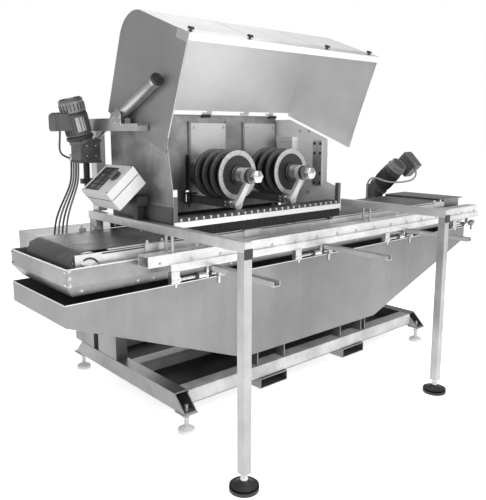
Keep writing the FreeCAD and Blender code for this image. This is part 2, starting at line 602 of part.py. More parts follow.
PLATE_Y = (rear_y[0] - 14, rear_y[0] - 6)
carriage_plates, spindle_units, support_arms = [], [], []
WHEEL_STEPS = [0, 1, 2, 3]
ARM_Z = (size(1048), size(1088))
ARM_FRONT = size(-110)
nose_front = d.wheel_front + d.wheel_pitch * WHEEL_STEPS[-1] + d.wheel_thick + 8
journal_y = (d.arbor_front + 64, d.arbor_front + 100)
for side, x in zip(("left", "right"), ARBOR_MIDS):
    z = d.arbor_height
    blank = box("carriage blank", (x - 58, x + 192), PLATE_Y, (1058, 1484))
    carriage_plates.append(cut("carriage plate", blank, [
        rod("neck hole", "Y", (x, PLATE_Y[0] - 5, z), 30, NECK_RADIUS)]))
    nose = rod("spindle nose", "Y", (x, nose_front, z), PLATE_Y[0] - 2 - nose_front,
               d.spindle_nose)
    neck = rod("spindle neck", "Y", (x, PLATE_Y[0] - 2, z), FRAME_Y[1] - PLATE_Y[0] + 2,
               NECK_RADIUS)
    motor = rod("spindle motor", "Y", (x, FRAME_Y[1], z), 300, d.motor_radius)
    fan = rod("fan cowl", "Y", (x, FRAME_Y[1] + 300, z), 45, d.motor_radius - 6)
    terminals = box("terminal box", (x - 45, x + 45), (FRAME_Y[1] + 70, FRAME_Y[1] + 170),
                    (z + d.motor_radius - 12, z + d.motor_radius + 42))
    spindle_units.append(cut("spindle unit", fuse("spindle blank", [
        nose, neck, motor, fan, terminals]), [
        rod("spindle bore", "Y", (x, nose_front - 5, z), 120, size(20) + d.shaft_clearance)]))
    arm_x = x - 70
    arm_low, arm_high = ARM_Z
    arm_mid = (arm_low + arm_high) / 2
    arm = hollow("support tube", around(arm_x, 40), (ARM_FRONT + 4, PLATE_Y[0]), ARM_Z, 3, "Y")
    plug = box("tube end", around(arm_x, 40), (ARM_FRONT, ARM_FRONT + 6), ARM_Z)
    fitting = rod("union", "Y", (arm_x, journal_y[0] + 6, arm_mid),
                  ARM_FRONT - journal_y[0].value - 6, 14)
    lever_y = (journal_y[0] + 6, journal_y[1] - 6)
    thick = lever_y[1] - lever_y[0]
    foot = rod("lever foot", "Y", (arm_x, lever_y[0], arm_mid), thick, 24)
    head = rod("lever head", "Y", (x, lever_y[0], z), thick, 42)
    shank = prism("lever shank", "XZ", [(arm_x - 16, arm_mid + 12), (arm_x + 16, arm_mid - 6),
                                        (x + 10, z - 38), (x - 20, z - 34)], *lever_y)
    support_arms.append(cut("support arm", fuse("support blank", [
        arm, plug, fitting, foot, head, shank]), [
        rod("journal bore", "Y", (x, lever_y[0] - 5, z), thick + 10,
            d.journal_radius + d.shaft_clearance)]))

    wheels, sleeves = [], []
    for step in WHEEL_STEPS:
        face = d.wheel_front + d.wheel_pitch * step
        disc = rod("disc", "Y", (x, face, z), d.wheel_thick, d.wheel_radius)
        tools = [rod("wheel bore", "Y", (x, face - 5, z), d.wheel_thick + 10, d.wheel_bore)]
        for low in (face - 5, face + d.wheel_thick - 3):
            ring = cut("recess", rod("recess outside", "Y", (x, low, z), 8,
                                     d.wheel_radius - 30),
                       [rod("recess inside", "Y", (x, low - 5, z), 18, 46)])
            tools.append(ring)
        wheels.append(cut("wheel", disc, tools))
        last = step == WHEEL_STEPS[-1]
        gap = 6 if last else d.wheel_pitch - d.wheel_thick
        sleeves.append(rod("spacer", "Y", (x, face + d.wheel_thick, z), gap, 40))
    group("grinding_wheels_" + side, wheels)
    shaft = rod("arbor shaft", "Y", (x, d.arbor_front, z), nose_front - d.arbor_front - 1, 25)
    tang = rod("arbor tang", "Y", (x, nose_front - 2, z), 100, 20)
    collar = rod("front collar", "Y", (x, journal_y[1], z), d.wheel_front - journal_y[1], 40)
    journal = rod("journal", "Y", (x, journal_y[0], z), journal_y[1] - journal_y[0],
                  d.journal_radius)
    ring_nut = rod("ring nut", "Y", (x, journal_y[0] - 20, z), 20, 37)
    hex_nut = doc.addObject("Part::Prism", "Nut")
    bind(hex_nut, Circumradius=33, Height=journal_y[0] - 20 - d.arbor_front)
    place(hex_nut, (x, d.arbor_front, z), TURN["Y"])
    fuse("arbor_" + side, [shaft, tang, collar, journal, ring_nut, hex_nut] + sleeves)
group("carriage_plates", carriage_plates)
group("spindle_units", spindle_units)
group("support_arms", support_arms)

# ---------------------------------------------------------------- lift, balance cylinder
GEARBOX_Z = (size(1290), size(1398))
gearbox = box("lift gearbox", around(LIFT_X, 108), around(LIFT_Y, 100), GEARBOX_Z)
LEAN = Rotation(Vector(0, 1, 0), -14)
lift_motor = rod("lift motor", "Z", (LIFT_X - 22, LIFT_Y, GEARBOX_Z[1] - 14), 215, 58, LEAN)
lift_box = box("lift terminals", (-1348, -1262), around(LIFT_Y, 84), (1440, 1520))
cut("lift_gearmotor", fuse("lift blank", [gearbox, lift_motor, lift_box]), [
    rod("screw bore", "Z", (LIFT_X, LIFT_Y, GEARBOX_Z[0] - 5), 110,
        size(14) + d.shaft_clearance)])
STAND_Y = LIFT_Y + 60
POST_X = (-1101, -1050)
fuse("lift_stand", [
    box("stand post", POST_X, (STAND_Y, STAND_Y + 60), (d.arm_top, 1500)),
    box("stand plate", around(LIFT_X, 100), (LIFT_Y + 50, STAND_Y), (1290, 1374)),
    box("stand arm", (LIFT_X - 50, POST_X[1]), (STAND_Y, STAND_Y + 20), (1290, 1326)),
    box("clip arm", (-1214, POST_X[0]), (STAND_Y + 48, STAND_Y + 60), (1290, 1314)),
    box("stand tie", (-1150, POST_X[0]), (STAND_Y, STAND_Y + 20), (1440, 1500)),
    box("side plate", (-1150, -1144), (100, STAND_Y + 20), (1440, 1500)),
    box("cylinder channel", (-1150, -1092), (-110, 150), (1440, 1464)),
    box("cable clip", (-1214, -1162), (STAND_Y + 60, STAND_Y + 82), (1290, 1314))])
CYLINDER_TILT = 25
CYLINDER_X = size(-1118)
CYLINDER_TURN = Rotation(Vector(1, 0, 0), 90 - CYLINDER_TILT)
ROD_TURN = Rotation(Vector(1, 0, 0), -90 - CYLINDER_TILT)
slope_y = math.cos(math.radians(CYLINDER_TILT))
slope_z = math.sin(math.radians(CYLINDER_TILT))
CYLINDER_FOOT = (133, 1490)


def along_cylinder(distance):
    """A point on the cylinder's axis, measured from its foot towards its free end."""
    return (CYLINDER_X, CYLINDER_FOOT[0] - slope_y * distance,
            CYLINDER_FOOT[1] + slope_z * distance)


barrel = rod("barrel", "Z", along_cylinder(0), 400, 24, CYLINDER_TURN)
end_cap = rod("end cap", "Z", along_cylinder(396), 10, 26, CYLINDER_TURN)
cradle = box("cradle", around(CYLINDER_X, 30), (20, 90), (1464, 1500))
cut("balance_cylinder", fuse("cylinder blank", [barrel, end_cap, cradle]), [
    rod("rod bore", "Z", along_cylinder(-5), 130, size(7) + d.shaft_clearance,
        CYLINDER_TURN)])
rod_shank = rod("rod shank", "Z", along_cylinder(110), 350, 7, ROD_TURN)
rod_eye = rod("rod eye", "X", (CYLINDER_X - 11, *along_cylinder(-250)[1:]), 22, 15)
fuse("balance_rod", [rod_shank, rod_eye])

# ---------------------------------------------------------------- control box
PANEL_LEAN = 40
PANEL_TURN = Rotation(Vector(0, 1, 0), -PANEL_LEAN)
PANEL_MID = (-1205, 20, 1184)
PANEL_SIZE = (180, 240, 100)


def on_panel(x, y, z):
    """A point given in the tilted box's own directions from its middle."""
    return Vector(*PANEL_MID) + PANEL_TURN.multVec(Vector(x, y, z))


def panel_block(label, x_span, y_span, z_span):
    obj = box(label, x_span, y_span, z_span)
    place(obj, on_panel(x_span[0], y_span[0], z_span[0]), PANEL_TURN)
    return obj


half_x, half_y, half_z = [side / 2 for side in PANEL_SIZE]
casing = panel_block("casing", (-half_x, half_x), (-half_y, half_y), (-half_z, half_z))
recess = panel_block("window recess", (-76, 76), (-24, 106), (half_z - 5, half_z + 5))
KNOB_X, KNOB_Y = 18, -62
knob_bore = rod("knob bore", "Z", on_panel(KNOB_X, KNOB_Y, half_z - 16), 40,
                size(7) + d.shaft_clearance, PANEL_TURN)
cut("control_box", casing, [recess, knob_bore])
knob_disc = rod("knob disc", "Z", on_panel(KNOB_X, KNOB_Y, half_z + 0.4), 12, 25, PANEL_TURN)
knob_stem = rod("knob stem", "Z", on_panel(KNOB_X, KNOB_Y, half_z - 12), 20, 7, PANEL_TURN)
knob_grip = panel_block("knob grip", (KNOB_X - 22, KNOB_X + 22), (KNOB_Y - 7, KNOB_Y + 7),
                        (half_z + 12, half_z + 26))
fuse("isolator_knob", [knob_disc, knob_stem, knob_grip])
swivel = rod("swivel", "Z", on_panel(0, -20, -half_z - 26), 26, 42, PANEL_TURN)
arm_x = (d.arm_left_mid - d.tube_side / 2 - 22, d.arm_left_mid + 16)
fuse("control_bracket", [
    swivel, box("swivel block", arm_x, (-100, 45), (1100, 1142)),
    box("bracket post", (d.arm_left_mid - 20, d.arm_left_mid + 16), (-60, -20),
        (d.arm_top, 1100))])

# ---------------------------------------------------------------- rear cabinet, columns
COLUMN_Y = {"front": (345, 546), "rear": (600, 830)}
columns = []
for x in BEAM_MIDS.values():
    foot = hollow("column foot", around(x, 70), COLUMN_Y["front"], (d.beam_top, 700), 3, "Z")
    post = box("column post", around(x, 60), (345, 420), (690, d.rail_low))
    columns.append(fuse("front column", [foot, post]))
columns.append(hollow("rear column", around(d.beam_left_mid, 70), COLUMN_Y["rear"],
                      (d.beam_top, 700), 3, "Z"))
group("rear_columns", columns)
CABINET_WALL = 3
cabinet_spans = ((-1345, 600), (rear_rail_y[1].value, 850), (700, 889))
cabinet = cut("cabinet", box("cabinet outside", *cabinet_spans), [
    box("cabinet inside", *[(low + CABINET_WALL, high - CABINET_WALL)
                            for low, high in cabinet_spans])])
BUNDLE = range(4)
glands = [rod("cable gland", "Z", (-1306 + 22 * i, 468, 880), 25, 9) for i in BUNDLE]
fuse("rear_cabinet", [cabinet] + glands)

# ---------------------------------------------------------------- conveyor gearmotor
DRIVE_X = size(1300)
DRIVE_TURN = Rotation(Vector(1, 0, 0), 45)
drive_foot = (DRIVE_X, 383, 975)
diagonal = math.sqrt(0.5)


def along_drive(along, across=0, x=0):
    """A point from the gearbox along the leaning motor and square to it."""
    return (DRIVE_X + x, drive_foot[1] - diagonal * (along - across),
            drive_foot[2] + diagonal * (along + across))


drive_box = box("drive gearbox", around(DRIVE_X, 116), around(383, 76), (d.rail_top, 1030))
drive_gland = rod("drive gland", "Z", (DRIVE_X - 76, 398, d.rail_top), 18, 11)
drive_motor = rod("drive motor", "Z", along_drive(0), 270, 68, DRIVE_TURN)
drive_cowl = rod("drive cowl", "Z", along_drive(270), 40, 60, DRIVE_TURN)
terminal_corner = along_drive(245, -75, 60)
drive_terminals = box("drive terminals", (0, 90), (0, 137), (0, 127))
place(drive_terminals, terminal_corner, DRIVE_TURN)
group("drive_gearmotor", [
    fuse("gearmotor", [drive_box, drive_motor, drive_cowl, drive_terminals]), drive_gland])

# ---------------------------------------------------------------- clamp units and levers
clamp_bars = []
clamp_y, clamp_z = d.clamp_mid_y, d.clamp_height
for i in range(4):
    right = d.clamp_right + d.clamp_pitch * i
    left = right - d.clamp_long
    block = box("clamp block", (left, left + 44), around(clamp_y, 26),
                (clamp_z - 14, d.lip_low))
    far_block = box("clamp hanger", (right - 104, right - 90), around(clamp_y, 22),
                    (clamp_z - 12, d.lip_low))
    bar = rod("clamp bar", "X", (left + 44, clamp_y, clamp_z), d.clamp_long - 50, 8)
    sleeve = rod("clamp sleeve", "X", (left + 150, clamp_y, clamp_z), 60, 11)
    collars = [rod("clamp collar", "X", (left + at, clamp_y, clamp_z), 12, 15)
               for at in (138, 210)]
    clamp_bars.append(fuse("clamp unit", [block, far_block, bar, sleeve] + collars))
    hub = rod("lever hub", "X", (right - 36, clamp_y, clamp_z), 22, 17)
    tab = box("lever tab", (right - 32, right - 18), around(clamp_y, 12),
              (clamp_z - 52, clamp_z - 10))
    cut("clamp_lever_%d" % (i + 1), fuse("lever blank", [hub, tab]), [
        rod("lever bore", "X", (right - 46, clamp_y, clamp_z), 60,
            size(8) + d.shaft_clearance)])
group("clamp_bars", clamp_bars)

# ---------------------------------------------------------------- cables


def cable(label, radius, route):
    """A round cable: straight runs along the route, joined by tangent arcs."""
    points = [Vector(*point) for point in route]
    edges, start, bends = [], points[0], []
    for before, corner, after in zip(points, points[1:], points[2:]):
        back, ahead = before - corner, after - corner
        half_turn = (math.pi - back.getAngle(ahead)) / 2
        reach = 0.45 * min(back.Length, ahead.Length)
        bends.append(reach / math.tan(half_turn))
        first = corner + back.normalize() * reach
        last = corner + ahead.normalize() * reach
        middle_line = (back + ahead).normalize()
        bulge = bends[-1] / math.cos(half_turn) - bends[-1]
        edges += [Part.LineSegment(start, first).toShape(),
                  Part.Arc(first, corner + middle_line * bulge, last).toShape()]
        start = last
    edges.append(Part.LineSegment(start, points[-1]).toShape())
    path = Part.Wire(edges)
    section = Part.Wire(Part.makeCircle(radius, points[0], points[1] - points[0]))
    obj = doc.addObject("Part::Feature", "Cable")
    obj.Label = label
    obj.Shape = path.makePipeShell([section], True, True)
    drift = obj.Shape.Volume / (math.pi * radius ** 2 * path.Length) - 1
    print("%s: %.0f mm long, tightest bend %.0f mm, volume off by %.2f %%"
          % (label, path.Length, min(bends), 100 * drift))


cable("lift_motor_cable", 5, [
    (-1322, 309, 1440), (-1321, 318, 1398), (-1309, 352, 1362), (-1286, 396, 1336),
    (-1254, 430, 1315), (-1214, 441, 1302)])
FALL = [(0, 440, 1290), (0, 441, 1232), (0.07, 444, 1172), (0.36, 450, 1108),
        (0.70, 458, 1040), (0.94, 466, 968), (1, 468, 905)]
for i in BUNDLE:
    clip_x, gland_x = -1208 + 13 * i, -1306 + 22 * i
    cable("bundle_cable_%d" % (i + 1), 5, [
        (clip_x + (gland_x - clip_x) * share, y, z) for share, y, z in FALL])
cable("drive_motor_cable", 6.5, [
    (1400, 89.5, 1162.4), (1396, 77, 1128), (1384, 78, 1096), (1362, 93, 1074),
    (1330, 121, 1063), (1295, 156, 1057), (1260, 190, 1056), (1230, 228, 1062),
    (1209, 268, 1077), (1200, 310, 1089), (1202, 350, 1081), (1210, 380, 1052),
    (1218, 394, 1010), (1223, 398, 968), (1224, 398.2, 926)])

# ---------------------------------------------------------------- checking and writing
doc.recompute()
inside = {piece for obj in doc.Objects for piece in obj.OutList}
nodes = [obj for obj in doc.Objects if obj not in inside and hasattr(obj, "Shape")]
for obj in doc.Objects:
    if {"Invalid", "Error"} & set(obj.State):
        raise RuntimeError("%s did not recompute: %s" % (obj.Label, obj.State))
for node in nodes:
    if node.Shape.isNull() or not node.Shape.isValid() or not node.Shape.Solids:
        raise RuntimeError("%s has no valid solid" % node.Label)
os.makedirs("parts", exist_ok=True)
for node in nodes:
    node.Shape.exportStep("parts/%s.step" % node.Label)
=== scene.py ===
"""Looks of the belt-fed stone grinding machine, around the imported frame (metres)."""
import math
import random

import bmesh
import bpy
from mathutils import Matrix, Vector


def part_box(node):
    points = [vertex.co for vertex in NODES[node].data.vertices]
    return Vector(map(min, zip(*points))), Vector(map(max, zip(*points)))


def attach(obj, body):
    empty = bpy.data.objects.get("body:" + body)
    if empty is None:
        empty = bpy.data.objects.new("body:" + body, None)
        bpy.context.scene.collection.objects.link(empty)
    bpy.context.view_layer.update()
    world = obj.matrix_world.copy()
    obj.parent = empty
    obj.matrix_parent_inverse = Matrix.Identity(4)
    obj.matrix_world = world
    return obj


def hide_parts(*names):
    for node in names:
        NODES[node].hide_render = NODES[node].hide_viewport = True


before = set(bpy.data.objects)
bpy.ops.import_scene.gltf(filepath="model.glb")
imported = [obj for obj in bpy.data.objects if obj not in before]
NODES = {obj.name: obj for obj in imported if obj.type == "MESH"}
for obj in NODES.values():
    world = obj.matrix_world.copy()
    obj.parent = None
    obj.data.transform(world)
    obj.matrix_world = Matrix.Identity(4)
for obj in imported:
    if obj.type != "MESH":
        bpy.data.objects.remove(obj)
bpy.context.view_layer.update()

X, Y, Z = Vector((1, 0, 0)), Vector((0, 1, 0)), Vector((0, 0, 1))


# ---- camera, light, floor
def add_camera():
    data = bpy.data.cameras.new("camera")
    data.sensor_width = 36.0
    data.lens = 43.33
    data.shift_x, data.shift_y = 0.0114, -0.040
    camera = bpy.data.objects.new("camera", data)
    camera.location = (-2.603, -2.473, 1.442)
    camera.rotation_euler = (math.radians(90 - 9.38), 0, math.radians(-40.94))
    bpy.context.collection.objects.link(camera)
    bpy.context.scene.camera = camera


def add_area_light(name, location, target, size, power):
    data = bpy.data.lights.new(name, "AREA")
    data.shape, data.size, data.energy = "SQUARE", size, power
    light = bpy.data.objects.new(name, data)
    light.location = location
    light.rotation_euler = (Vector(target) - Vector(location)).to_track_quat("-Z", "Y").to_euler()
    bpy.context.collection.objects.link(light)


def add_backdrop(seen, shed):
    """A white surround: its brightness to the eye, and the light that it sheds."""
    world = bpy.data.worlds.new("studio")
    world.use_nodes = True
    tree = world.node_tree
    backdrop = tree.nodes["Background"]
    backdrop.inputs["Color"].default_value = (1.0, 1.0, 1.0, 1)
    path = tree.nodes.new("ShaderNodeLightPath")
    level = tree.nodes.new("ShaderNodeMapRange")
    level.inputs["To Min"].default_value, level.inputs["To Max"].default_value = shed, seen
    tree.links.new(path.outputs["Is Camera Ray"], level.inputs["Value"])
    tree.links.new(level.outputs["Result"], backdrop.inputs["Strength"])
    bpy.context.scene.world = world


def add_floor():
    mesh = bpy.data.meshes.new("floor")
    reach = 40
    mesh.from_pydata([(-reach, -reach, 0), (reach, -reach, 0), (reach, reach, 0), (-reach, reach, 0)],
        [], [(0, 1, 2, 3)])
    floor = bpy.data.objects.new("floor", mesh)
    floor.location.z = -0.0005
    bpy.context.collection.objects.link(floor)
    material = bpy.data.materials.new("floor")
    material.use_nodes = True
    shader = material.node_tree.nodes["Principled BSDF"]
    shader.inputs["Base Color"].default_value = (0.93, 0.93, 0.93, 1)
    shader.inputs["Roughness"].default_value = 0.9
    shader.inputs["Emission Color"].default_value = (1, 1, 1, 1)
    shader.inputs["Emission Strength"].default_value = 0.72
    mesh.materials.append(material)


def add_studio():
    add_camera()
    middle = (-0.2, 0.0, 0.9)
    add_area_light("key", (0.6, -5.4, 3.8), middle, 3.2, 165)
    add_area_light("fill", (-3.8, -4.2, 2.4), middle, 3.0, 40)
    add_area_light("side", (-5.2, 1.6, 2.4), middle, 3.0, 26)
    add_area_light("top", (0.2, 0.2, 5.4), middle, 3.5, 88)
    add_area_light("back", (2.2, 5.0, 3.2), middle, 4.0, 60)
    add_backdrop(1.0, 0.34)
    add_floor()
    bpy.context.scene.view_settings.view_transform = "Standard"


# ---- materials
M = {}


class Surface:
    """A procedural material, kept in M: a Principled shader and the nodes that feed it."""

    def __init__(self, name, metallic=0.0, roughness=0.5, coat=0.0):
        M[name] = bpy.data.materials.new(name)
        M[name].use_nodes = True
        self.tree = M[name].node_tree
        self.shader = self.tree.nodes["Principled BSDF"]
        for key, value in (("Metallic", metallic), ("Roughness", roughness),
                           ("Coat Weight", coat)):
            self.shader.inputs[key].default_value = value
        self.place = self.node("TexCoord").outputs["Object"]

    def node(self, kind, inputs=None, **values):
        made = self.tree.nodes.new("ShaderNode" + kind)
        for key, value in values.items():
            setattr(made, key, value)
        for key, value in (inputs or {}).items():
            made.inputs[key].default_value = value
        return made

    def link(self, output, target):
        self.tree.links.new(output, target)

    def stretched(self, scale):
        mapping = self.node("Mapping", {"Scale": scale})
        self.link(self.place, mapping.inputs["Vector"])
        return mapping.outputs["Vector"]

    def noise(self, scale, detail=3.0, stretch=(1, 1, 1), rough=0.5):
        made = self.node("TexNoise", {"Scale": scale, "Detail": detail, "Roughness": rough})
        self.link(self.stretched(stretch), made.inputs["Vector"])
        return made.outputs["Fac"]

    def ramp(self, value, *stops):
        made = self.node("ValToRGB")
        band = made.color_ramp
        while len(band.elements) < len(stops):
            band.elements.new(0.5)
        for element, (at, tone) in zip(band.elements, stops):
            element.position = at
            element.color = (tone, tone, tone, 1) if isinstance(tone, float) else (*tone, 1)
        self.link(value, made.inputs["Fac"])
        return made.outputs["Color"]

    def mix(self, share, first, second, blend="MIX"):
        made = self.node("Mix", data_type="RGBA", blend_type=blend)
        for index, value in ((0, share), (6, first), (7, second)):
            if not isinstance(value, (int, float)):
                self.link(value, made.inputs[index])
            elif index == 0:
                made.inputs[0].default_value = value
            else:
                made.inputs[index].default_value = (value, value, value, 1)
        return made.outputs[2]

    def span(self, value, low, high, from_low=0.0, from_high=1.0):
        made = self.node("MapRange", {"From Min": from_low, "From Max": from_high, "To Min": low,
            "To Max": high})
        self.link(value, made.inputs["Value"])
        return made.outputs["Result"]

    def beyond(self, axis, at, share):
        """One up to a plane across the axis, a share beyond it: the mask of the painted light and
        painted shade in sheet_metal.
        """
        parts = self.node("SeparateXYZ")
        self.link(self.place, parts.inputs["Vector"])
        return self.span(parts.outputs[axis], 1.0, share, at - 0.001, at + 0.001)

    def colour(self, output):
        self.link(output, self.shader.inputs["Base Color"])

    def roughness(self, output):
        self.link(output, self.shader.inputs["Roughness"])

    def bump(self, height, depth=0.001, strength=0.3):
        made = self.node("Bump", {"Strength": strength, "Distance": depth})
        self.link(height, made.inputs["Height"])
        self.link(made.outputs["Normal"], self.shader.inputs["Normal"])


def sheet_metal(name, dark, light, rough=(0.32, 0.5), grain=(1, 1, 18), cloud=2.2,
                metallic=0.88, painted_light_split=None):
    """Rolled sheet: cloudy tone, a fine rolling grain and faint dents.

    A split (axis, place in metres, share) multiplies the tone beyond a plane: a share under one is
    painted shade there, a share over one is painted light."""
    surface = Surface(name, metallic=metallic)
    clouds = surface.noise(cloud, 5, rough=0.62)
    lines = surface.noise(34, 3, stretch=grain)
    tone = surface.ramp(clouds, (0.36, dark), (0.66, light))
    # Painted light and shade: the tone beyond the plane multiplied by the share.
    if painted_light_split:
        tone = surface.mix(1.0, tone, surface.beyond(*painted_light_split), "MULTIPLY")
    surface.colour(surface.mix(0.12, tone, lines, "OVERLAY"))
    surface.roughness(surface.span(surface.mix(0.45, clouds, lines), *rough, 0.3, 0.7))
    surface.bump(lines, 0.0004, 0.18)


def streaked_sheet(name, dark, light, darkest_height, clear_height):
    """Satin sheet with water marks that run down it, darker towards the bottom from the second height
    down to the first.
    """
    surface = Surface(name, metallic=0.85)
    clouds = surface.noise(1.6, 5, rough=0.6)
    runs = surface.noise(9, 4, stretch=(1, 1, 0.09))
    tone = surface.ramp(clouds, (0.34, dark), (0.68, light))
    marks = surface.ramp(runs, (0.42, 0.72), (0.58, 1.0))
    washed = surface.mix(0.35, tone, marks, "MULTIPLY")
    parts = surface.node("SeparateXYZ")
    surface.link(surface.place, parts.inputs["Vector"])
    depth = surface.span(parts.outputs["Z"], 0.75, 0.0, darkest_height, clear_height)
    surface.colour(surface.mix(surface.mix(1.0, depth, surface.span(runs, 0.2, 1.3), "MULTIPLY"), washed,
        0.16))
    surface.roughness(surface.span(runs, 0.34, 0.52, 0.3, 0.7))
    surface.bump(surface.noise(40, 3, stretch=(1, 1, 10)), 0.0003, 0.15)


def turned_steel(name, dark, light, axis, rough=(0.18, 0.34)):
    """Bright steel with fine turning rings across its axis."""
    surface = Surface(name, metallic=0.95)
    stretch = tuple(70 if i == axis else 2 for i in range(3))
    rings = surface.noise(6, 2, stretch=stretch)
    surface.colour(surface.ramp(rings, (0.3, dark), (0.7, light)))
    surface.roughness(surface.span(rings, *rough, 0.3, 0.7))
    surface.bump(rings, 0.0003, 0.25)


def paint(name, colour, rough=0.42, coat=0.0, wear=0.5, metallic=0.0):
    """Enamel or powder coat: orange peel, faint dust and small scuffs."""
    surface = Surface(name, metallic=metallic, roughness=rough, coat=coat)
    dust = surface.noise(5, 5, rough=0.65)
    scuffs = surface.noise(60, 5, rough=0.7)
    base = surface.ramp(dust, (0.3, tuple(c * 0.86 for c in colour)), (0.7, colour))
    light = surface.ramp(scuffs, (0.66, 0.0), (0.78, wear))
    surface.colour(surface.mix(light, base, min(1.0, colour[0] * 1.8 + 0.06)))
    surface.roughness(surface.span(dust, rough - 0.07, rough + 0.1, 0.3, 0.7))
    surface.bump(surface.noise(240, 2), 0.0003, 0.2)


def rubber(name, tone, scuff, rough=0.6, scale=30):
    surface = Surface(name, roughness=rough)
    scuffs = surface.noise(scale, 6, stretch=(0.25, 1, 1), rough=0.7)
    clouds = surface.noise(3, 4)
    base = surface.ramp(clouds, (0.35, tone), (0.7, tone * 1.7))
    surface.colour(surface.mix(surface.ramp(scuffs, (0.55, 0.0), (0.75, 0.6)), base, scuff))
    surface.roughness(surface.span(scuffs, rough - 0.12, rough + 0.15, 0.3, 0.7))
    surface.bump(surface.noise(500, 2), 0.0003, 0.35)


def diamond_grit(name, dark, light):
    surface = Surface(name, metallic=0.4, roughness=0.55)
    grit = surface.node("TexVoronoi", {"Scale": 420})
    surface.link(surface.place, grit.inputs["Vector"])
    clouds = surface.noise(30, 4)
    tone = surface.ramp(grit.outputs["Distance"], (0.1, light), (0.6, dark))
    surface.colour(surface.mix(0.4, tone, surface.ramp(clouds, (0.3, 0.4), (0.7, 0.75)), "MULTIPLY"))
    surface.bump(grit.outputs["Distance"], 0.0006, 0.6)


def dark_glass(name):
    surface = Surface(name, roughness=0.12, coat=0.6)
    surface.colour(surface.ramp(surface.noise(7, 2), (0.3, 0.05), (0.7, 0.12)))


sheet_metal("bright_sheet", 0.60, 0.78, rough=(0.28, 0.42))
sheet_metal("hood_sheet", 0.66, 0.80, rough=(0.42, 0.55), cloud=1.2, metallic=0.6)
# The hood's side plates: the hood sheet darkened, painted shade on the left plate, and lightened 2.6
# times beyond x = -0.4 m, painted light that brings the right plate back.
sheet_metal("hood_side", 0.27, 0.35, rough=(0.42, 0.55), cloud=1.2, metallic=0.6, painted_light_split=(0, -0.4, 2.6))
# The housing's right wall, near white and not metallic: painted light on a wall that faces away from the
# lamps.
sheet_metal("right_wall", 0.88, 0.97, cloud=3, metallic=0.0)
# Support arms: bright steel, darkened to a fifth beyond y = -0.152 m, painted shade on the arms' back
# part.
sheet_metal("arm_steel_painted_shade", 0.76, 0.9, grain=(12, 1, 12), cloud=5, metallic=0.6, painted_light_split=(1, -0.152, 0.2))
# The housing's left wall: the wall sheet's tone above z = 1.104 m, less than half as bright below it,
# painted shade on the wall's lower part.
sheet_metal("left_wall", 0.12, 0.20, rough=(0.4, 0.58), cloud=7, painted_light_split=(2, 1.104, 2.3))
sheet_metal("tray_sheet", 0.22, 0.42, rough=(0.3, 0.46), grain=(1, 14, 14))
sheet_metal("sill_top", 0.10, 0.16, rough=(0.4, 0.55), metallic=0.4)
sheet_metal("tube", 0.38, 0.50, rough=(0.25, 0.4), grain=(14, 1, 14), cloud=6)
sheet_metal("arm_sheet", 0.56, 0.76, rough=(0.28, 0.42), grain=(14, 1, 14), cloud=6, metallic=0.7)
sheet_metal("rail_sheet", 0.60, 0.86, rough=(0.25, 0.42), grain=(1, 14, 14), metallic=0.55, cloud=7)
sheet_metal("wall_sheet", 0.27, 0.47, rough=(0.4, 0.58), cloud=7)
streaked_sheet("sump", 0.24, 0.34, 0.17, 0.28)
streaked_sheet("cabinet", 0.34, 0.52, 0.60, 0.70)
sheet_metal("base", 0.26, 0.36, rough=(0.3, 0.5), grain=(10, 1, 10), cloud=5)
# Base cross beams: near black, fourteen times lighter above z = 0.1235 m, painted shade on the beams
# below their lit top.
sheet_metal("base_cross", 0.03, 0.05, rough=(0.5, 0.7), cloud=5, metallic=0.4, painted_light_split=(2, 0.1235, 14))
turned_steel("turned_y", 0.42, 0.66, 1)
turned_steel("sleeve", 0.24, 0.46, 1, rough=(0.3, 0.42))
turned_steel("turned_z", 0.48, 0.72, 2)
turned_steel("turned_x", 0.48, 0.72, 0)
turned_steel("bolt", 0.50, 0.70, 2, rough=(0.25, 0.4))
paint("cast", (0.07, 0.07, 0.073), 0.5, wear=0.35)
paint("motor_grey", (0.13, 0.13, 0.135), 0.42, wear=0.4, metallic=0.3)
paint("dark_steel", (0.06, 0.06, 0.063), 0.4, wear=0.3, metallic=0.5)
paint("white_coat", (0.84, 0.84, 0.84), 0.35, coat=0.15, wear=0.1)
paint("black_nylon", (0.028, 0.028, 0.03), 0.45, wear=0.15)
# Wheel cores and bands: near black, painted shade for the gaps between the wheels.
paint("painted_shade_wheel_core", (0.05, 0.05, 0.052), 0.38, wear=0.3, metallic=0.5)
diamond_grit("grit", 0.56, 0.86)
# A darker copy of the grit for the wheels behind the front one: painted shade.
diamond_grit("grit_painted_shade", 0.16, 0.34)
rubber("belt", 0.07, 0.24, 0.33)
rubber("brush", 0.006, 0.02, 0.85, 90)
rubber("cable", 0.22, 0.5, 0.5)
rubber("cable_dark", 0.07, 0.2, 0.5)
sheet_metal("anodised", 0.50, 0.66, rough=(0.3, 0.42), grain=(12, 1, 1))
dark_glass("dark_glass")
turned_steel("bright_steel", 0.72, 0.9, 1, rough=(0.16, 0.3))
sheet_metal("white_sheet", 0.74, 0.86, rough=(0.34, 0.46), grain=(1, 14, 14))
paint("motor_light", (0.27, 0.27, 0.275), 0.4, wear=0.5, metallic=0.4)

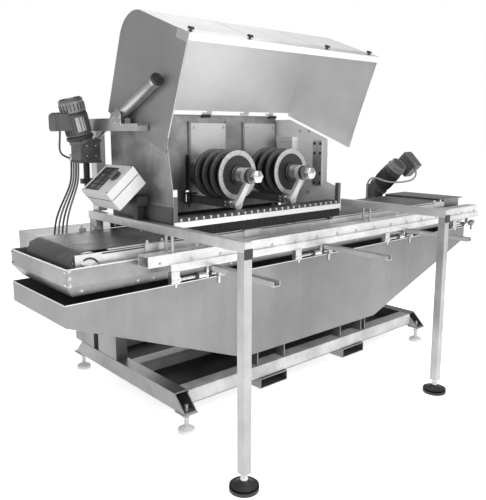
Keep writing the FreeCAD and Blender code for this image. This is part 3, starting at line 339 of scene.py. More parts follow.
NODE_LOOKS = {
    "tube": ["front_legs", "arm_posts"],
    "rail_sheet": ["side_rails", "belt_frame"],
    "tray_sheet": ["tray_walls", "end_cover_plate"],
    "wall_sheet": ["housing_rear_wall", "carriage_guides"],
    # Left wall: painted shade on its lower part.
    "left_wall": ["housing_left_wall"],
    "arm_sheet": ["cross_arms", "outrigger_channels"],
    "bright_sheet": ["carriage_plates", "hinge_wall_leaves", "hinge_hood_leaves",
                     "lift_stand"],
    # Right wall: painted light.
    "right_wall": ["housing_right_wall"],
    "sill_top": ["housing_sill", "housing_brackets"],
    "hood_sheet": ["hood_skin"],
    # Side plates: painted shade on the left one.
    "hood_side": ["hood_side_plates"],
    # Support arms: painted shade on their back part.
    "arm_steel_painted_shade": ["support_arms"],
    "sump": ["sump_side_plates", "sump_floor_sheet"],
    "cabinet": ["rear_cabinet", "rear_columns"],
    "base": ["base_side_beams", "fork_pockets", "pan_support_ribs"],
    # Cross beams: painted shade below their top.
    "base_cross": ["base_cross_beams"],
    "turned_z": ["levelling_spindles", "balance_rod"],
    "turned_y": ["tail_roller", "drive_roller"],
    "sleeve": ["arbor_left", "arbor_right"],
    "turned_x": ["clamp_bars"],
    "black_nylon": ["leg_foot_pads", "isolator_knob"],
    "motor_grey": ["spindle_units", "lift_gearmotor"],
    "cast": ["drive_gearmotor"],
    "dark_steel": ["head_frame", "control_bracket"],
    "bolt": ["clamp_lever_%d" % i for i in range(1, 5)],
    "grit": ["grinding_wheels_left", "grinding_wheels_right"],
    "anodised": ["balance_cylinder"],
    "belt": ["conveyor_belt"],
    "brush": ["rubber_curtain"],
    "white_coat": ["control_box", "base_foot_pads"],
}

for look, names in NODE_LOOKS.items():
    for name in names:
        for material_slot in NODES[name].material_slots:
            material_slot.material = M[look]


# ---- mesh helpers (millimetres)
MM = 0.001


def span(node):
    """A CAD node's lowest and highest corners, in millimetres."""
    low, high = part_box(node)
    return low / MM, high / MM


def finish(name, bm, look, body="frame", bevel=0.0, replaced=None):
    """Turns a mesh drawn in millimetres into a smooth-shaded piece that rides on a body.

    Its slot follows from its look."""
    bmesh.ops.scale(bm, vec=(MM, MM, MM), verts=bm.verts)
    bmesh.ops.recalc_face_normals(bm, faces=bm.faces)
    mesh = bpy.data.meshes.new(name)
    bm.to_mesh(mesh)
    bm.free()
    obj = bpy.data.objects.new(name, mesh)
    bpy.context.collection.objects.link(obj)
    mesh.materials.append(M[look])
    if bevel:
        edge = obj.modifiers.new("bevel", "BEVEL")
        edge.width, edge.segments, edge.limit_method = bevel * MM, 2, "ANGLE"
    for polygon in mesh.polygons:
        polygon.use_smooth = True
    mesh.set_sharp_from_angle(angle=math.radians(35))
    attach(obj, body)
    if replaced:
        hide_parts(replaced)
    return obj


def towards(base, axis):
    """A placement at a point, with its own +Z along an axis."""
    turn = Vector(axis).normalized().to_track_quat("Z", "Y").to_matrix().to_4x4()
    return Matrix.Translation(Vector(base)) @ turn


def blanks(count):
    """Empty meshes to draw in."""
    return [bmesh.new() for _ in range(count)]


def moved(x, y, z):
    return Matrix.Translation((x, y, z))


def box(bm, low, high, place=None):
    """A box between two corners, which are those of its placement if it has one."""
    low, high = Vector(low), Vector(high)
    made = bmesh.ops.create_cube(bm, size=1.0)["verts"]
    matrix = Matrix.Translation((low + high) / 2) @ Matrix.Diagonal((*(high - low), 1))
    bmesh.ops.transform(bm, matrix=place @ matrix if place else matrix, verts=made)


def loft(bm, rows, ring=False):
    """Faces from each row of vertices to the next, and over the two ends unless it is a ring."""
    count = len(rows[0])
    for first, second in zip(rows, rows[1:] + rows[:1] if ring else rows[1:]):
        for i in range(count):
            j = (i + 1) % count
            bm.faces.new((first[i], first[j], second[j], second[i]))
    if not ring:
        bm.faces.new(rows[0][::-1])
        bm.faces.new(rows[-1])


def turned_at(bm, place, profile, segments=32, ring=False):
    """A turned solid from (height, radius) steps; a ring is closed on itself."""
    rows = []
    for height, radius in profile:
        rows.append([bm.verts.new(place @ Vector((radius * math.cos(a), radius * math.sin(a),
                                                  height)))
                     for a in (2 * math.pi * i / segments for i in range(segments))])
    loft(bm, rows, ring)


def turned(bm, base, axis, profile, segments=32, ring=False):
    """A turned solid that starts at a point and runs along an axis."""
    turned_at(bm, towards(base, axis), profile, segments, ring)


def turns(count, first=0.0):
    """Equal turns about Z that together go all the way round."""
    return [Matrix.Rotation(2 * math.pi * (i + first) / count, 4, "Z") for i in range(count)]


def sector(bm, place, section, start, end, steps=4):
    """Part of a turned ring: a (height, radius) section swept between two angles."""
    rows = []
    for i in range(steps + 1):
        a = start + (end - start) * i / steps
        rows.append([bm.verts.new(place @ Vector((r * math.cos(a), r * math.sin(a), h)))
                     for h, r in section])
    loft(bm, rows)


def plate(bm, outline, thick, place):
    """A flat plate from its (x, y) outline, thick along the placement's +Z."""
    loft(bm, [[bm.verts.new(place @ Vector((x, y, z))) for x, y in outline] for z in (0, thick)])


def rounded(width, height, radius, steps=5):
    """The outline of a rectangle with round corners, about its middle."""
    points = []
    for quarter, (sx, sy) in enumerate(((1, 1), (-1, 1), (-1, -1), (1, -1))):
        for i in range(steps + 1):
            a = math.pi / 2 * (quarter + i / steps)
            points.append((sx * (width / 2 - radius) + radius * math.cos(a),
                sy * (height / 2 - radius) + radius * math.sin(a)))
    return points


def hex_bolt(bm, spot, axis, radius=7.0):
    """A washer and a domed hexagon head standing on a face."""
    turned(bm, spot, axis, [(0, radius * 1.45), (radius * 0.2, radius * 1.5),
        (radius * 0.26, radius * 1.35)], 20)
    base = Vector(spot) + Vector(axis).normalized() * radius * 0.22
    turned(bm, base, axis, [(0, radius), (radius * 0.62, radius), (radius * 0.8, radius * 0.84)], 6)


def bolts(name, spots, axis, radius=7.0, body="frame", look="bolt"):
    bm = bmesh.new()
    for spot in spots:
        hex_bolt(bm, spot, axis, radius)
    finish(name, bm, look, body)


def spread(low, high, count):
    """Evenly spaced values, both ends included."""
    return [low + (high - low) * i / (count - 1) for i in range(count)]


add_studio()


# ---- grinding wheels and arbors
WHEEL_THICK, WHEEL_COUNT, SEGMENTS = 14, 4, 22


def add_wheels(side):
    node = "grinding_wheels_" + side
    low, high = span(node)
    middle, radius = (low + high) / 2, (high.z - low.z) / 2
    cores, front_rim, rear_rims, bands = blanks(4)
    inner = radius - 29
    section = [(0.8, inner + 1), (0, inner + 3), (0, radius - 4), (1.2, radius - 1), (4, radius),
        (10, radius), (12.8, radius - 1), (14, radius - 4), (14, inner + 3), (13.2, inner + 1)]
    for k, y in enumerate(spread(low.y, high.y - WHEEL_THICK, WHEEL_COUNT)):
        place = towards((middle.x, y, middle.z), Y)
        turned_at(cores, place, [(2.2, 26), (2.2, inner - 8), (1.4, inner), (1.4, inner + 10),
            (12.6, inner + 10), (12.6, inner), (11.8, inner - 8), (11.8, 26)], 64, ring=True)
        turned_at(bands, place, [(2.5, radius - 2), (2.5, radius + 0.6), (3.5, radius + 1),
            (11, radius + 1), (12, radius + 0.6), (12, radius - 2)], 72, ring=True)
        slot_angle = 2 * math.pi / SEGMENTS
        for i in range(SEGMENTS):
            start = slot_angle * (i + 0.17 * k)
            # The wheels behind the front one take the darker grit: painted shade.
            sector(rear_rims if k else front_rim, place, section, start, start + slot_angle * 0.965)
    body = side + "_arbor"
    # Cores and bands near black: painted shade between the wheels.
    finish("wheel_cores_" + side, cores, "painted_shade_wheel_core", body, replaced=node)
    finish("wheel_segments_" + side, front_rim, "grit", body)
    finish("wheel_rear_segments_" + side, rear_rims, "grit_painted_shade", body)
    finish("wheel_bands_" + side, bands, "painted_shade_wheel_core", body)


def add_arbor_trim(side):
    low, high = span("arbor_" + side)
    mid = (low + high) / 2
    front, body = low.y, side + "_arbor"
    lever_front = span("support_arms")[0].y
    bright, dark, sleeve = blanks(3)
    turned(bright, (mid.x, front - 2.5, mid.z), Y, [(0, 15), (0, 27), (3, 33.8), (20, 33.8), (24, 33.8)],
        6)
    turned(bright, (mid.x, front - 4, mid.z), Y, [(0, 12), (1.5, 17), (4, 17)], 24)
    hub_front = lever_front + 26
    wheel_front = span("grinding_wheels_" + side)[0].y
    for y in spread(hub_front + 3, wheel_front - 22, 5):
        turned(sleeve, (mid.x, y, mid.z), Y, [(0, 40), (1.2, 42), (3.4, 42), (4.6, 40)], 40)
    turned(dark, (mid.x, wheel_front - 12, mid.z), Y, [(0, 44), (3, 52), (11, 52)], 40)
    for y in (lever_front - 5, lever_front - 14):
        turned(dark, (mid.x, y - 3, mid.z), Y, [(0, 36), (1.5, 40), (5, 40), (6.5, 36)], 32)
    finish("arbor_nut_" + side, bright, "bright_steel", body)
    finish("arbor_ring_nuts_" + side, dark, "dark_steel", body)
    finish("arbor_sleeve_" + side, sleeve, "sleeve", body)


for side in ("left", "right"):
    add_wheels(side)
    add_arbor_trim(side)


# ---- support arms and spindles
ARM_HALF, TUBE_FRONT, ARM_AXIS_Z = 20, -110, 1068
ARBOR_MIDS = [sum(span("arbor_" + side), Vector()) / 2 for side in ("left", "right")]


def add_support_arm_trim():
    arms_front, arms_back = (corner.y for corner in span("support_arms"))
    union, joint_bolts, pivots = blanks(3)
    for mid in ARBOR_MIDS:
        x = mid.x - 70
        for i in range(4):
            turned(union, (x, TUBE_FRONT - 44 + 11 * i, ARM_AXIS_Z), Y, [(0, 15), (2, 18.5), (6, 18.5),
                (8, 15)], 6 if i == 3 else 28)
        for dz in (-9, 9):
            hex_bolt(joint_bolts, (x - ARM_HALF, TUBE_FRONT + 14, ARM_AXIS_Z + dz), -X, 5.5)
            hex_bolt(joint_bolts, (x + dz, arms_front, ARM_AXIS_Z + dz * 0.4), -Y, 4)
        back = arms_back - 26
        turned(pivots, (x - ARM_HALF - 9, back, ARM_AXIS_Z - 25), Z, [(0, 8), (0, 14), (8, 16), (10, 12),
            (54, 12), (56, 16), (62, 14), (64, 8)], 24)
        for z in (ARM_AXIS_Z - 24, ARM_AXIS_Z + 26):
            box(pivots, (x - ARM_HALF - 24, back - 16, z), (x + ARM_HALF + 4, back + 24, z + 7))
    finish("support_arm_unions", union, "bolt", "head")
    finish("support_arm_bolts", joint_bolts, "bright_steel", "head")
    finish("support_arm_pivots", pivots, "dark_steel", "head", bevel=1.2)


def add_spindle_fins():
    fins, guards = blanks(2)
    back, fin_count = span("spindle_units")[1].y, 30
    for mid in ARBOR_MIDS:
        for i in range(fin_count):
            a = 2 * math.pi * i / fin_count
            if abs(a - math.pi / 2) < 0.55:
                continue
            place = towards((mid.x, back - 330, mid.z), Y) @ Matrix.Rotation(a, 4, "Z")
            box(fins, (88, -1.6, 0), (97, 1.6, 262), place)
        rear = (mid.x, back - 44, mid.z)
        turned(guards, rear, Y, [(0, 86), (4, 90), (34, 90), (44, 78), (45, 60), (45, 20)], 40)
        for r in (28, 42, 56, 70):
            turned(guards, (mid.x, back + 0.5, mid.z), Y, [(0, r), (2, r + 1), (2, r + 4), (0, r + 5)],
                40, ring=True)
        box(guards, (mid.x - 48, back - 278, mid.z + 118), (mid.x + 48, back - 172, mid.z + 126))
    finish("spindle_motor_fins", fins, "motor_grey", "head")
    finish("spindle_fan_guards", guards, "dark_steel", "head", bevel=0.8)


add_support_arm_trim()
add_spindle_fins()


# ---- lift drive
LIFT_Y, GEARBOX_Z = 309, 1344


def add_lift_details():
    low = span("lift_gearmotor")[0]
    screw = span("head_frame")[0].x + 30
    lean = Matrix.Rotation(math.radians(-14), 4, "Y")
    place = moved(screw - 22, LIFT_Y, GEARBOX_Z + 40) @ lean
    fins, cowl, dark = blanks(3)
    for turn in turns(26):
        box(fins, (56, -1.5, 44), (64, 1.5, 138), place @ turn)
    turned_at(cowl, place, [(150, 57), (152, 62), (196, 61), (212, 54), (219, 38), (220, 12)], 44)
    for turn in turns(22, 0.5):
        box(dark, (56, -2.2, 160), (62.4, 2.2, 192), place @ turn)
        box(dark, (30, -1.6, 214), (50, 1.6, 220), place @ turn)
    turned_at(dark, place, [(140, 55), (140, 61.5), (149, 61.5), (149, 55)], 44, ring=True)
    turned_at(dark, place, [(16, 59), (20, 66), (34, 66), (38, 60)], 44)
    finish("lift_motor_fins", fins, "motor_grey")
    finish("lift_motor_cowl", cowl, "motor_light")
    finish("lift_motor_slots", dark, "black_nylon")
    lid, patch = blanks(2)
    side_place = towards((low.x - 1, LIFT_Y, 1480), -X)
    plate(lid, rounded(88, 84, 14), 7, side_place)
    plate(lid, rounded(74, 70, 10), 12, side_place)
    box(lid, (low.x + 4, 266, 1522), (low.x + 82, 352, 1527))
    finish("lift_terminal_lid", lid, "motor_grey", bevel=1.5)
    plate(patch, rounded(46, 70, 5), 2.4, place @ moved(-8, -58, 92)
              @ Matrix.Rotation(math.pi / 2, 4, "X"))
    finish("lift_motor_plate", patch, "bright_sheet")
    gear = bmesh.new()
    for y, axis in ((LIFT_Y - 50.5, -Y), (LIFT_Y + 50.5, Y)):
        turned(gear, (screw, y, GEARBOX_Z), axis, [(0, 44), (5, 44), (7, 40), (7, 22), (11, 20)], 36)
    box(gear, (low.x + 96, 254, 1386), (screw + 58, 364, 1400))
    box(gear, (screw - 58, 254, 1284), (screw + 58, 364, 1296))
    finish("lift_gearbox_covers", gear, "cast", bevel=2)
    spots = [(screw + 34 * math.cos(a), LIFT_Y - 55.5, GEARBOX_Z + 34 * math.sin(a))
             for a in (math.pi / 4 + i * math.pi / 2 for i in range(4))]
    bolts("lift_gearbox_bolts", spots, -Y, 4.5)
    thread = bmesh.new()
    for i in range(15):
        turned(thread, (screw, LIFT_Y, 1207 + 5.6 * i), Z, [(0, 13.5), (1.6, 17.5), (3.2, 17.5),
            (4.8, 13.5)], 28)
    finish("lift_screw_thread", thread, "black_nylon", "head")


add_lift_details()


# ---- hood balance cylinder
def add_balance_details():
    tilt = math.radians(25)
    axis = Vector((0, -math.cos(tilt), math.sin(tilt)))
    foot = Vector((-1118, 133, 1490))
    tube, cap, mount = blanks(3)
    turned(tube, foot - axis * 6, axis, [(0, 20), (0, 26), (4, 28), (30, 28), (34, 25.4), (380, 25.4),
        (384, 28), (402, 28)], 48)
    finish("balance_tube", tube, "anodised")
    turned(cap, foot + axis * 396, axis, [(0, 29), (10, 29.5), (14, 28), (14, 24), (12, 22), (12, 6),
        (14, 4)], 48)
    finish("balance_tube_cap", cap, "dark_steel")
    for at in (8, 58):
        turned(mount, foot + axis * at, axis, [(0, 28), (0, 34), (12, 34), (12, 28)], 40, ring=True)
    low = span("lift_stand")[0]
    channel_front, channel_back = low.y, 150
    for x in (-1152, -1094):
        box(mount, (x, channel_front - 2, 1464), (x + 3, channel_back, 1474))
    plate(mount, [(-46, -30), (40, -30), (40, 22), (14, 40), (-46, 30)], 5, towards((-1152, 60, 1494),
        -X))
    finish("balance_mount", mount, "bright_sheet", bevel=0.8)
    bolts("balance_mount_bolts", [(-1157, y, 1486 + dz) for y in (34, 88) for dz in (-6, 20)],
          -X, 5.5)
    clevis = bmesh.new()
    end = foot - axis * 250
    place = towards(end - Vector((17, 0, 0)), X)
    plate(clevis, rounded(42, 42, 16), 5, place)
    plate(clevis, rounded(42, 42, 16), 4, place @ moved(0, 0, 28.5))
    turned(clevis, end - Vector((22, 0, 0)), X, [(0, 5), (0, 8), (37, 8), (37, 5)], 20)
    turned(clevis, end + axis * 18, axis, [(0, 9), (2, 12), (22, 12), (24, 8)], 6)
    finish("balance_clevis", clevis, "dark_steel", "balance_rod")


add_balance_details()


# ---- control box
PANEL = moved(-1205, 20, 1184) @ Matrix.Rotation(math.radians(-40), 4, "Y")


def add_control_details():
    shell, glass, frame_strip, seam = blanks(4)
    plate(shell, rounded(183, 243, 9), 58, PANEL @ moved(0, 0, -51.5))
    finish("control_box_body", shell, "white_coat", bevel=1.5)
    lid = bmesh.new()
    hole_low, hole_high = (-76, -24), (76, 106)
    half_x, half_y, top = 91.5, 121.5, 51.6
    for x0, x1, y0, y1 in ((-half_x, half_x, -half_y, hole_low[1]),
                           (-half_x, half_x, hole_high[1], half_y),
                           (-half_x, hole_low[0], hole_low[1], hole_high[1]),
                           (hole_high[0], half_x, hole_low[1], hole_high[1])):
        box(lid, (x0, y0, 10), (x1, y1, top), PANEL)
    finish("control_box_lid", lid, "white_coat", bevel=1.0)
    middle = ((hole_low[0] + hole_high[0]) / 2, (hole_low[1] + hole_high[1]) / 2)
    plate(glass, rounded(146, 124, 6), 1.6,
              PANEL @ moved(*middle, 45.2))
    finish("control_window", glass, "dark_glass", bevel=0.4)
    for x in (-72, -34, 40, 71):
        box(frame_strip, (x - 2, -20, 47), (x + 2, 102, 49), PANEL)
    for y in (-19, 38, 101):
        box(frame_strip, (-72, y - 1.5, 47), (72, y + 1.5, 49.4), PANEL)
    finish("control_window_frame", frame_strip, "black_nylon", bevel=0.6)
    plate(seam, rounded(184, 244, 9), 2.2, PANEL @ moved(0, 0, 7.2))
    finish("control_lid_seal", seam, "black_nylon")
    screws = bmesh.new()
    for x in (-82, 82):
        for y in (-112, 114):
            place = PANEL @ moved(x, y, top - 0.4)
            turned_at(screws, place, [(0, 5.5), (1.2, 5), (1.6, 3), (0.8, 2)], 20)
    for i in range(3):
        place = PANEL @ moved(-60 + 34 * i, -50 - 4 * i, -50) \
            @ Matrix.Rotation(math.pi, 4, "X")
        turned_at(screws, place, [(0, 13), (5, 13), (5, 11), (12, 11), (14, 12), (22, 12), (28, 7)], 6)
    finish("control_screws_and_glands", screws, "motor_light")
    knob = bmesh.new()
    place = PANEL @ moved(18, -62, 62)
    plate(knob, rounded(50, 18, 7), 16, place)
    for turn in turns(24):
        box(knob, (22, -1.8, -10), (27, 1.8, 0), place @ turn)
    finish("knob_grip_ribs", knob, "motor_grey", "isolator_knob", bevel=1.2)


add_control_details()


# ---- belt gearmotor
DRIVE_X, DRIVE_Y, DRIVE_Z = 1300, 383, 975


def add_drive_details():
    """The motor leans back at 45 degrees from the gearbox, its terminal box beside it."""
    lean, slant = Matrix.Rotation(math.radians(45), 4, "X"), math.sqrt(0.5)
    place = moved(DRIVE_X, DRIVE_Y, DRIVE_Z) @ lean
    rings, end, lid, gear = blanks(4)
    for at in (96, 104, 196, 208, 220):
        turned_at(rings, place, [(at, 67), (at + 1, 71.5), (at + 6, 71.5), (at + 7, 67)], 48)
    for turn in turns(28):
        box(rings, (66, -1.6, 112), (73, 1.6, 190), place @ turn)
    finish("drive_motor_fins", rings, "black_nylon")
    turned_at(end, place, [(262, 69), (264, 71), (272, 71), (274, 68), (274, 62), (306, 61.5), (311, 58),
        (312, 52), (308, 49), (308, 8)], 56)
    finish("drive_motor_end_bell", end, "motor_light")
    inner = bmesh.new()
    turned_at(inner, place, [(308.5, 46), (309.5, 46), (309.5, 30), (307, 28)], 48)
    finish("drive_motor_end_disc", inner, "dark_steel")
    up, aside = 245, 75
    local = Matrix.Translation((DRIVE_X + 60, DRIVE_Y - slant * (up + aside),
                                DRIVE_Z + slant * (up - aside))) @ lean
    box(lid, (-2, -2, 100), (92, 139, 129.5), local)
    box(lid, (-1, -1, -1), (91, 138, 97), local)
    finish("drive_terminal_cover", lid, "motor_grey", bevel=5)
    screws = bmesh.new()
    for x in (10, 80):
        for y in (12, 126):
            hex_bolt(screws, local @ Vector((x, y, 129)), local.to_3x3() @ Z, 4)
    for x in (DRIVE_X - 44, DRIVE_X + 44):
        for z in (926, 1012):
            hex_bolt(screws, (x, 344.6, z), -Y, 6)
    finish("drive_gear_bolts", screws, "bolt")
    turned(gear, (DRIVE_X, DRIVE_Y - 40, 968), -Y, [(0, 44), (6, 44), (9, 38), (9, 20)], 40)
    box(gear, (DRIVE_X - 62, 341, 908), (DRIVE_X + 62, 425, 916))
    turned_at(gear, place, [(40, 60), (48, 74), (62, 74), (64, 68)], 44)
    finish("drive_gear_covers", gear, "cast", bevel=1.5)


add_drive_details()


# ---- housing, sill and brushes
def add_sill_details():
    low, high = span("housing_sill")
    front, top = low.y, 1048
    mat, teeth, band = blanks(3)
    box(mat, (low.x + 24, front + 36, top), (high.x - 24, high.y - 1, top + 2))
    box(mat, (low.x + 22, front - 1.5, top - 13), (high.x - 22, front + 1, top + 1.2))
    finish("sill_mat", mat, "dark_steel", bevel=0.4)
    for x in spread(low.x + 40, high.x - 40, 26):
        box(teeth, (x - 5, front - 3, top - 12), (x + 5, front + 14, top + 2.2))
    finish("sill_teeth", teeth, "bolt", bevel=0.8)
    box(band, (low.x, front - 4, low.z - 1), (high.x, front, top - 14))
    box(band, (low.x, front - 4, low.z - 3), (high.x, front + 6, low.z - 1))
    finish("sill_front_band", band, "white_sheet", bevel=0.6)


def add_brush():
    low, high = span("rubber_curtain")
    strips = bmesh.new()
    chance = random.Random(11)
    count = 76
    pitch = (high.x - low.x) / count
    for i in range(count):
        x = low.x + pitch * i
        drop = chance.uniform(-4, 3)
        sway = chance.uniform(-1.6, 1.6)
        width = pitch - chance.uniform(0.8, 1.6)
        rows = []
        for k in range(4):
            share = k / 3
            z = high.z + (low.z + 4 + drop - high.z) * share
            y = (low.y + high.y) / 2 + sway * share * share
            rows.append([strips.verts.new((x + dx, y + dy, z)) for dx, dy in (
                (0, -1.6), (width, -1.6), (width, 1.6), (0, 1.6))])
        loft(strips, rows)
    finish("brush_strips", strips, "brush", replaced="rubber_curtain")
    holder = bmesh.new()
    box(holder, (low.x, low.y - 1, high.z - 12), (high.x, high.y + 6, high.z))
    finish("brush_holder", holder, "black_nylon", bevel=1)


def add_housing_details():
    left, right = span("housing_left_wall"), span("housing_right_wall")
    rear = span("housing_rear_wall")
    spots = [(left[0].x, y, 999) for y in (-260, -190, -110, 10, 130, 214)]
    bolts("left_wall_bolts", spots, -X, 6)
    flap = bmesh.new()
    box(flap, (left[1].x, 294, 944), (right[0].x + 76, 297, 1006))
    finish("rear_splash_flap", flap, "brush", bevel=0.6)
    corner = bmesh.new()
    box(corner, (left[0].x + 3, left[0].y - 3, 1150), (left[0].x + 26, left[0].y, 1182))
    for z in (1476, 1484):
        box(corner, (left[0].x - 1, left[0].y + 66, z), (left[0].x + 4, 238, z + 3))
    box(corner, (rear[0].x, rear[1].y - 17, rear[1].z), (rear[1].x, rear[1].y + 1, rear[1].z + 3))
    finish("housing_edge_strips", corner, "white_sheet", bevel=0.6)
    bumpers = bmesh.new()
    for x in (-480, 40):
        turned(bumpers, (x - 34, rear[0].y + 2, rear[1].z - 4), X, [(0, 5), (2, 9), (60, 9), (62, 5)],
            20)
    finish("hood_bumpers", bumpers, "black_nylon")
    guide, junction = blanks(2)
    guide_y, guide_z = -104, 1254
    face = right[0].x - 1
    plate(guide, rounded(70, 264, 8), 6, towards((face, guide_y, guide_z), -X))
    finish("right_guide_plate", guide, "white_sheet", bevel=0.8)
    spots = [(face - 6, guide_y + dy, guide_z + dz)
             for dy in (-22, 22) for dz in (-114, -58, 58, 114)]
    bolts("right_guide_bolts", spots, -X, 6, look="dark_steel")
    box(junction, (face - 46, 60, 1300), (face, 190, 1402))
    box(junction, (face - 50, 56, 1376), (face - 2, 194, 1406))
    for y in (90, 150):
        turned(junction, (face - 24, y, 1300), -Z, [(0, 12), (6, 12), (8, 9), (22, 9)], 6)
    finish("junction_box", junction, "white_coat", bevel=3)
    spots = [(face, y, z) for y in (-30, 40) for z in (1080, 1230, 1440)]
    bolts("right_wall_bolts", spots, -X, 6)
    pipe, pipe_y, pipe_z = bmesh.new(), -196, 1026
    turned(pipe, (rear[0].x + 30, pipe_y, pipe_z), X, [(0, 6), (0, 9), (1090, 9), (1090, 6)], 20)
    for x in spread(rear[0].x + 60, rear[1].x - 60, 16):
        turned(pipe, (x, pipe_y, pipe_z - 4), (0, 0.5, -1), [(0, 7), (10, 7), (12, 5), (18, 5),
            (20, 2.5)], 12)
    finish("spray_pipe", pipe, "dark_steel")
    plates, front = bmesh.new(), span("carriage_plates")[0].y
    for mid in ARBOR_MIDS:
        for x in (mid.x - 40, mid.x + 174):
            for z in (1080, 1460):
                hex_bolt(plates, (x, front, z), -Y, 6)
    finish("carriage_bolts", plates, "bolt", "head")


add_sill_details()
add_brush()
add_housing_details()


# ---- hood
HOOD_TILT = math.radians(21)
HOOD_UP = Vector((0, -math.sin(HOOD_TILT), math.cos(HOOD_TILT)))
HOOD_OUT = Vector((0, -math.cos(HOOD_TILT), -math.sin(HOOD_TILT)))
HOOD_FOOT = Vector((0, 262, 1536))
HOOD_HEIGHT, HOOD_DEPTH = 526, 536


def on_hood(x, back, depth):
    """A point up the hood's back and forward along its depth."""
    return HOOD_FOOT + Vector((x, 0, 0)) + HOOD_UP * back + HOOD_OUT * depth


def hood_place(x, back, depth):
    """A placement with x along the hood, y forward along its depth and z out of its top."""
    turn = Matrix((X, HOOD_OUT, HOOD_UP)).transposed().to_4x4()
    return Matrix.Translation(on_hood(x, back, depth)) @ turn


def add_hood_details():
    low, high = span("hood_skin")
    knobs, lip, edge = blanks(3)
    for x in (-1060, -731, -209, 133):
        place = hood_place(x, HOOD_HEIGHT, 506)
        turned_at(knobs, place, [(0, 6), (0, 9), (3, 9), (4, 5), (8, 5), (9, 13), (14, 15), (19, 13),
            (20, 6)], 18)
    finish("hood_knobs", knobs, "black_nylon", "hood")
    front = hood_place(low.x, HOOD_HEIGHT, HOOD_DEPTH)
    width = high.x - low.x
    box(lip, (0, 0, -30), (width, 3, 1.6), front)
    box(lip, (0, -74, 0), (width, 2.4, 1.6), front)
    finish("hood_lip_band", lip, "white_sheet", "hood", bevel=0.6)
    for x, outward in ((low.x, -1), (high.x, 1)):
        side = hood_place(x, 0, HOOD_DEPTH)
        a, b = sorted((0, -2.5 if outward < 0 else -8))
        box(edge, (a, -5, 70), (b, 0, 494), side)
        a, b = sorted((0, outward * 2))
        box(edge, (a, -86, 486), (b, 2, 527), side)
    finish("hood_edge_flanges", edge, "bright_sheet", "hood", bevel=0.5)
    seams = bmesh.new()
    for x in (low.x + 420, low.x + 860):
        place = hood_place(x, HOOD_HEIGHT, 160)
        box(seams, (-0.8, 0, -0.4), (0.8, 300, 0.9), place)
    finish("hood_top_seams", seams, "bolt", "hood")
    rivets = bmesh.new()
    for x in spread(low.x + 30, high.x - 30, 12):
        turned_at(rivets, hood_place(x, HOOD_HEIGHT, 470), [(0, 5), (1.4, 4.4), (2.2, 2.4)], 14)
    for x in (-900, -452, -170, 40):
        for back in (22, 46):
            turned_at(rivets, towards(on_hood(x + 14, back, -4.4), -HOOD_OUT), [(0, 4.5), (1.6, 4),
                (2.4, 2)], 14)
    finish("hood_rivets", rivets, "bolt", "hood")


add_hood_details()


# ---- tray, rails, belt bed
def add_tray_details():
    low, high = span("tray_walls")
    spots = [(x, low.y, z) for x in (low.x + 12, high.x - 12) for z in (884, 852, 822)]
    bolts("tray_front_bolts", spots, -Y, 5.5)
    for name, x, out in (("tray_end_bolts", low.x, -X), ("tray_drive_end_bolts", high.x, X)):
        spots = [(x, y, z) for y in (low.y + 10, high.y - 10) for z in (878, 826)]
        bolts(name, spots, out, 5.5)
    spots = [(x, low.y + 17, 790) for x in (-1510, -1240, -1160, -700, -200, 300, 800, 1300)]
    bolts("tray_slope_bolts", spots, (0, -0.82, -0.57), 6)
    bead = bmesh.new()
    for y in (low.y - 1, high.y - 3):
        box(bead, (low.x, y, high.z - 4), (high.x, y + 4, high.z + 1))
    for x in (low.x - 1, high.x - 3):
        box(bead, (x, low.y, high.z - 4), (x + 4, high.y, high.z + 1))
    finish("tray_top_bead", bead, "white_sheet", bevel=0.6)


def add_rail_details():
    low, high = span("side_rails")
    rail_front = low.y + 12
    bolts("rail_face_bolts", [(x, rail_front, 872) for x in spread(low.x + 60, high.x - 50, 17)],
          -Y, 5.5)
    spots = []
    for x in (-945, -160, 625, 1410):
        spots += [(x + dx, rail_front + 20, high.z) for dx in (-42, 42)]
    bolts("rail_top_bolts", spots, Z, 7)
    edge = bmesh.new()
    box(edge, (low.x, rail_front - 1, 904), (high.x, rail_front + 6, 909))
    box(edge, (-1135, low.y - 1, low.z - 1), (high.x, low.y + 3, low.z + 3))
    finish("rail_edge_beads", edge, "white_sheet", bevel=0.8)


def add_belt_details():
    caps, slots, guides = blanks(3)
    for roller in ("tail_roller", "drive_roller"):
        low, high = span(roller)
        mid = (low + high) / 2
        for y, axis in ((-228, -Y), (290, Y)):
            turned(caps, (mid.x, y, mid.z), axis, [(0, 15.2), (0, 26), (5, 26), (8, 22), (8, 15.2)], 32,
                ring=True)
            for a in spread(0, 1.5 * math.pi, 4):
                hex_bolt(caps, (mid.x + 24 * math.cos(a + 0.785) * 1.15, y,
                    mid.z + 19 * math.sin(a + 0.785) * 1.1), axis, 4)
    finish("bearing_caps", caps, "bolt")
    plate_y = -212
    box(slots, (-1400, plate_y - 1.2, 926), (-1160, plate_y, 932))
    box(slots, (-1330, plate_y - 1.2, 858), (-1250, plate_y, 870))
    sector(slots, towards((-1462, plate_y, 868), -Y), [(0, 44), (1.4, 44), (1.4, 52), (0, 52)],
        math.radians(20), math.radians(120), 14)
    finish("tension_slots", slots, "black_nylon")
    for x in (-1190, -600, 700, 1180):
        box(guides, (x, -222, 905), (x + 120, -212, 941))
        box(guides, (x, -222, 941), (x + 120, -186, 944))
        for dx in (20, 100):
            turned(guides, (x + dx, -204, 944), Z, [(0, 9), (4, 9), (4, 6), (14, 6)], 6)
    for x in (-1262, -1180):
        box(guides, (x, 276, 905), (x + 40, 300, 962))
        turned(guides, (x + 20, 288, 962), Z, [(0, 9), (4, 9), (4, 6), (14, 6)], 6)
    finish("side_guide_brackets", guides, "rail_sheet", bevel=0.8)


BAR_Y, BAR_Z = -334, 788
BAR_LENGTH, BAR_PITCH, FIRST_BAR_END = 300, 785, -839


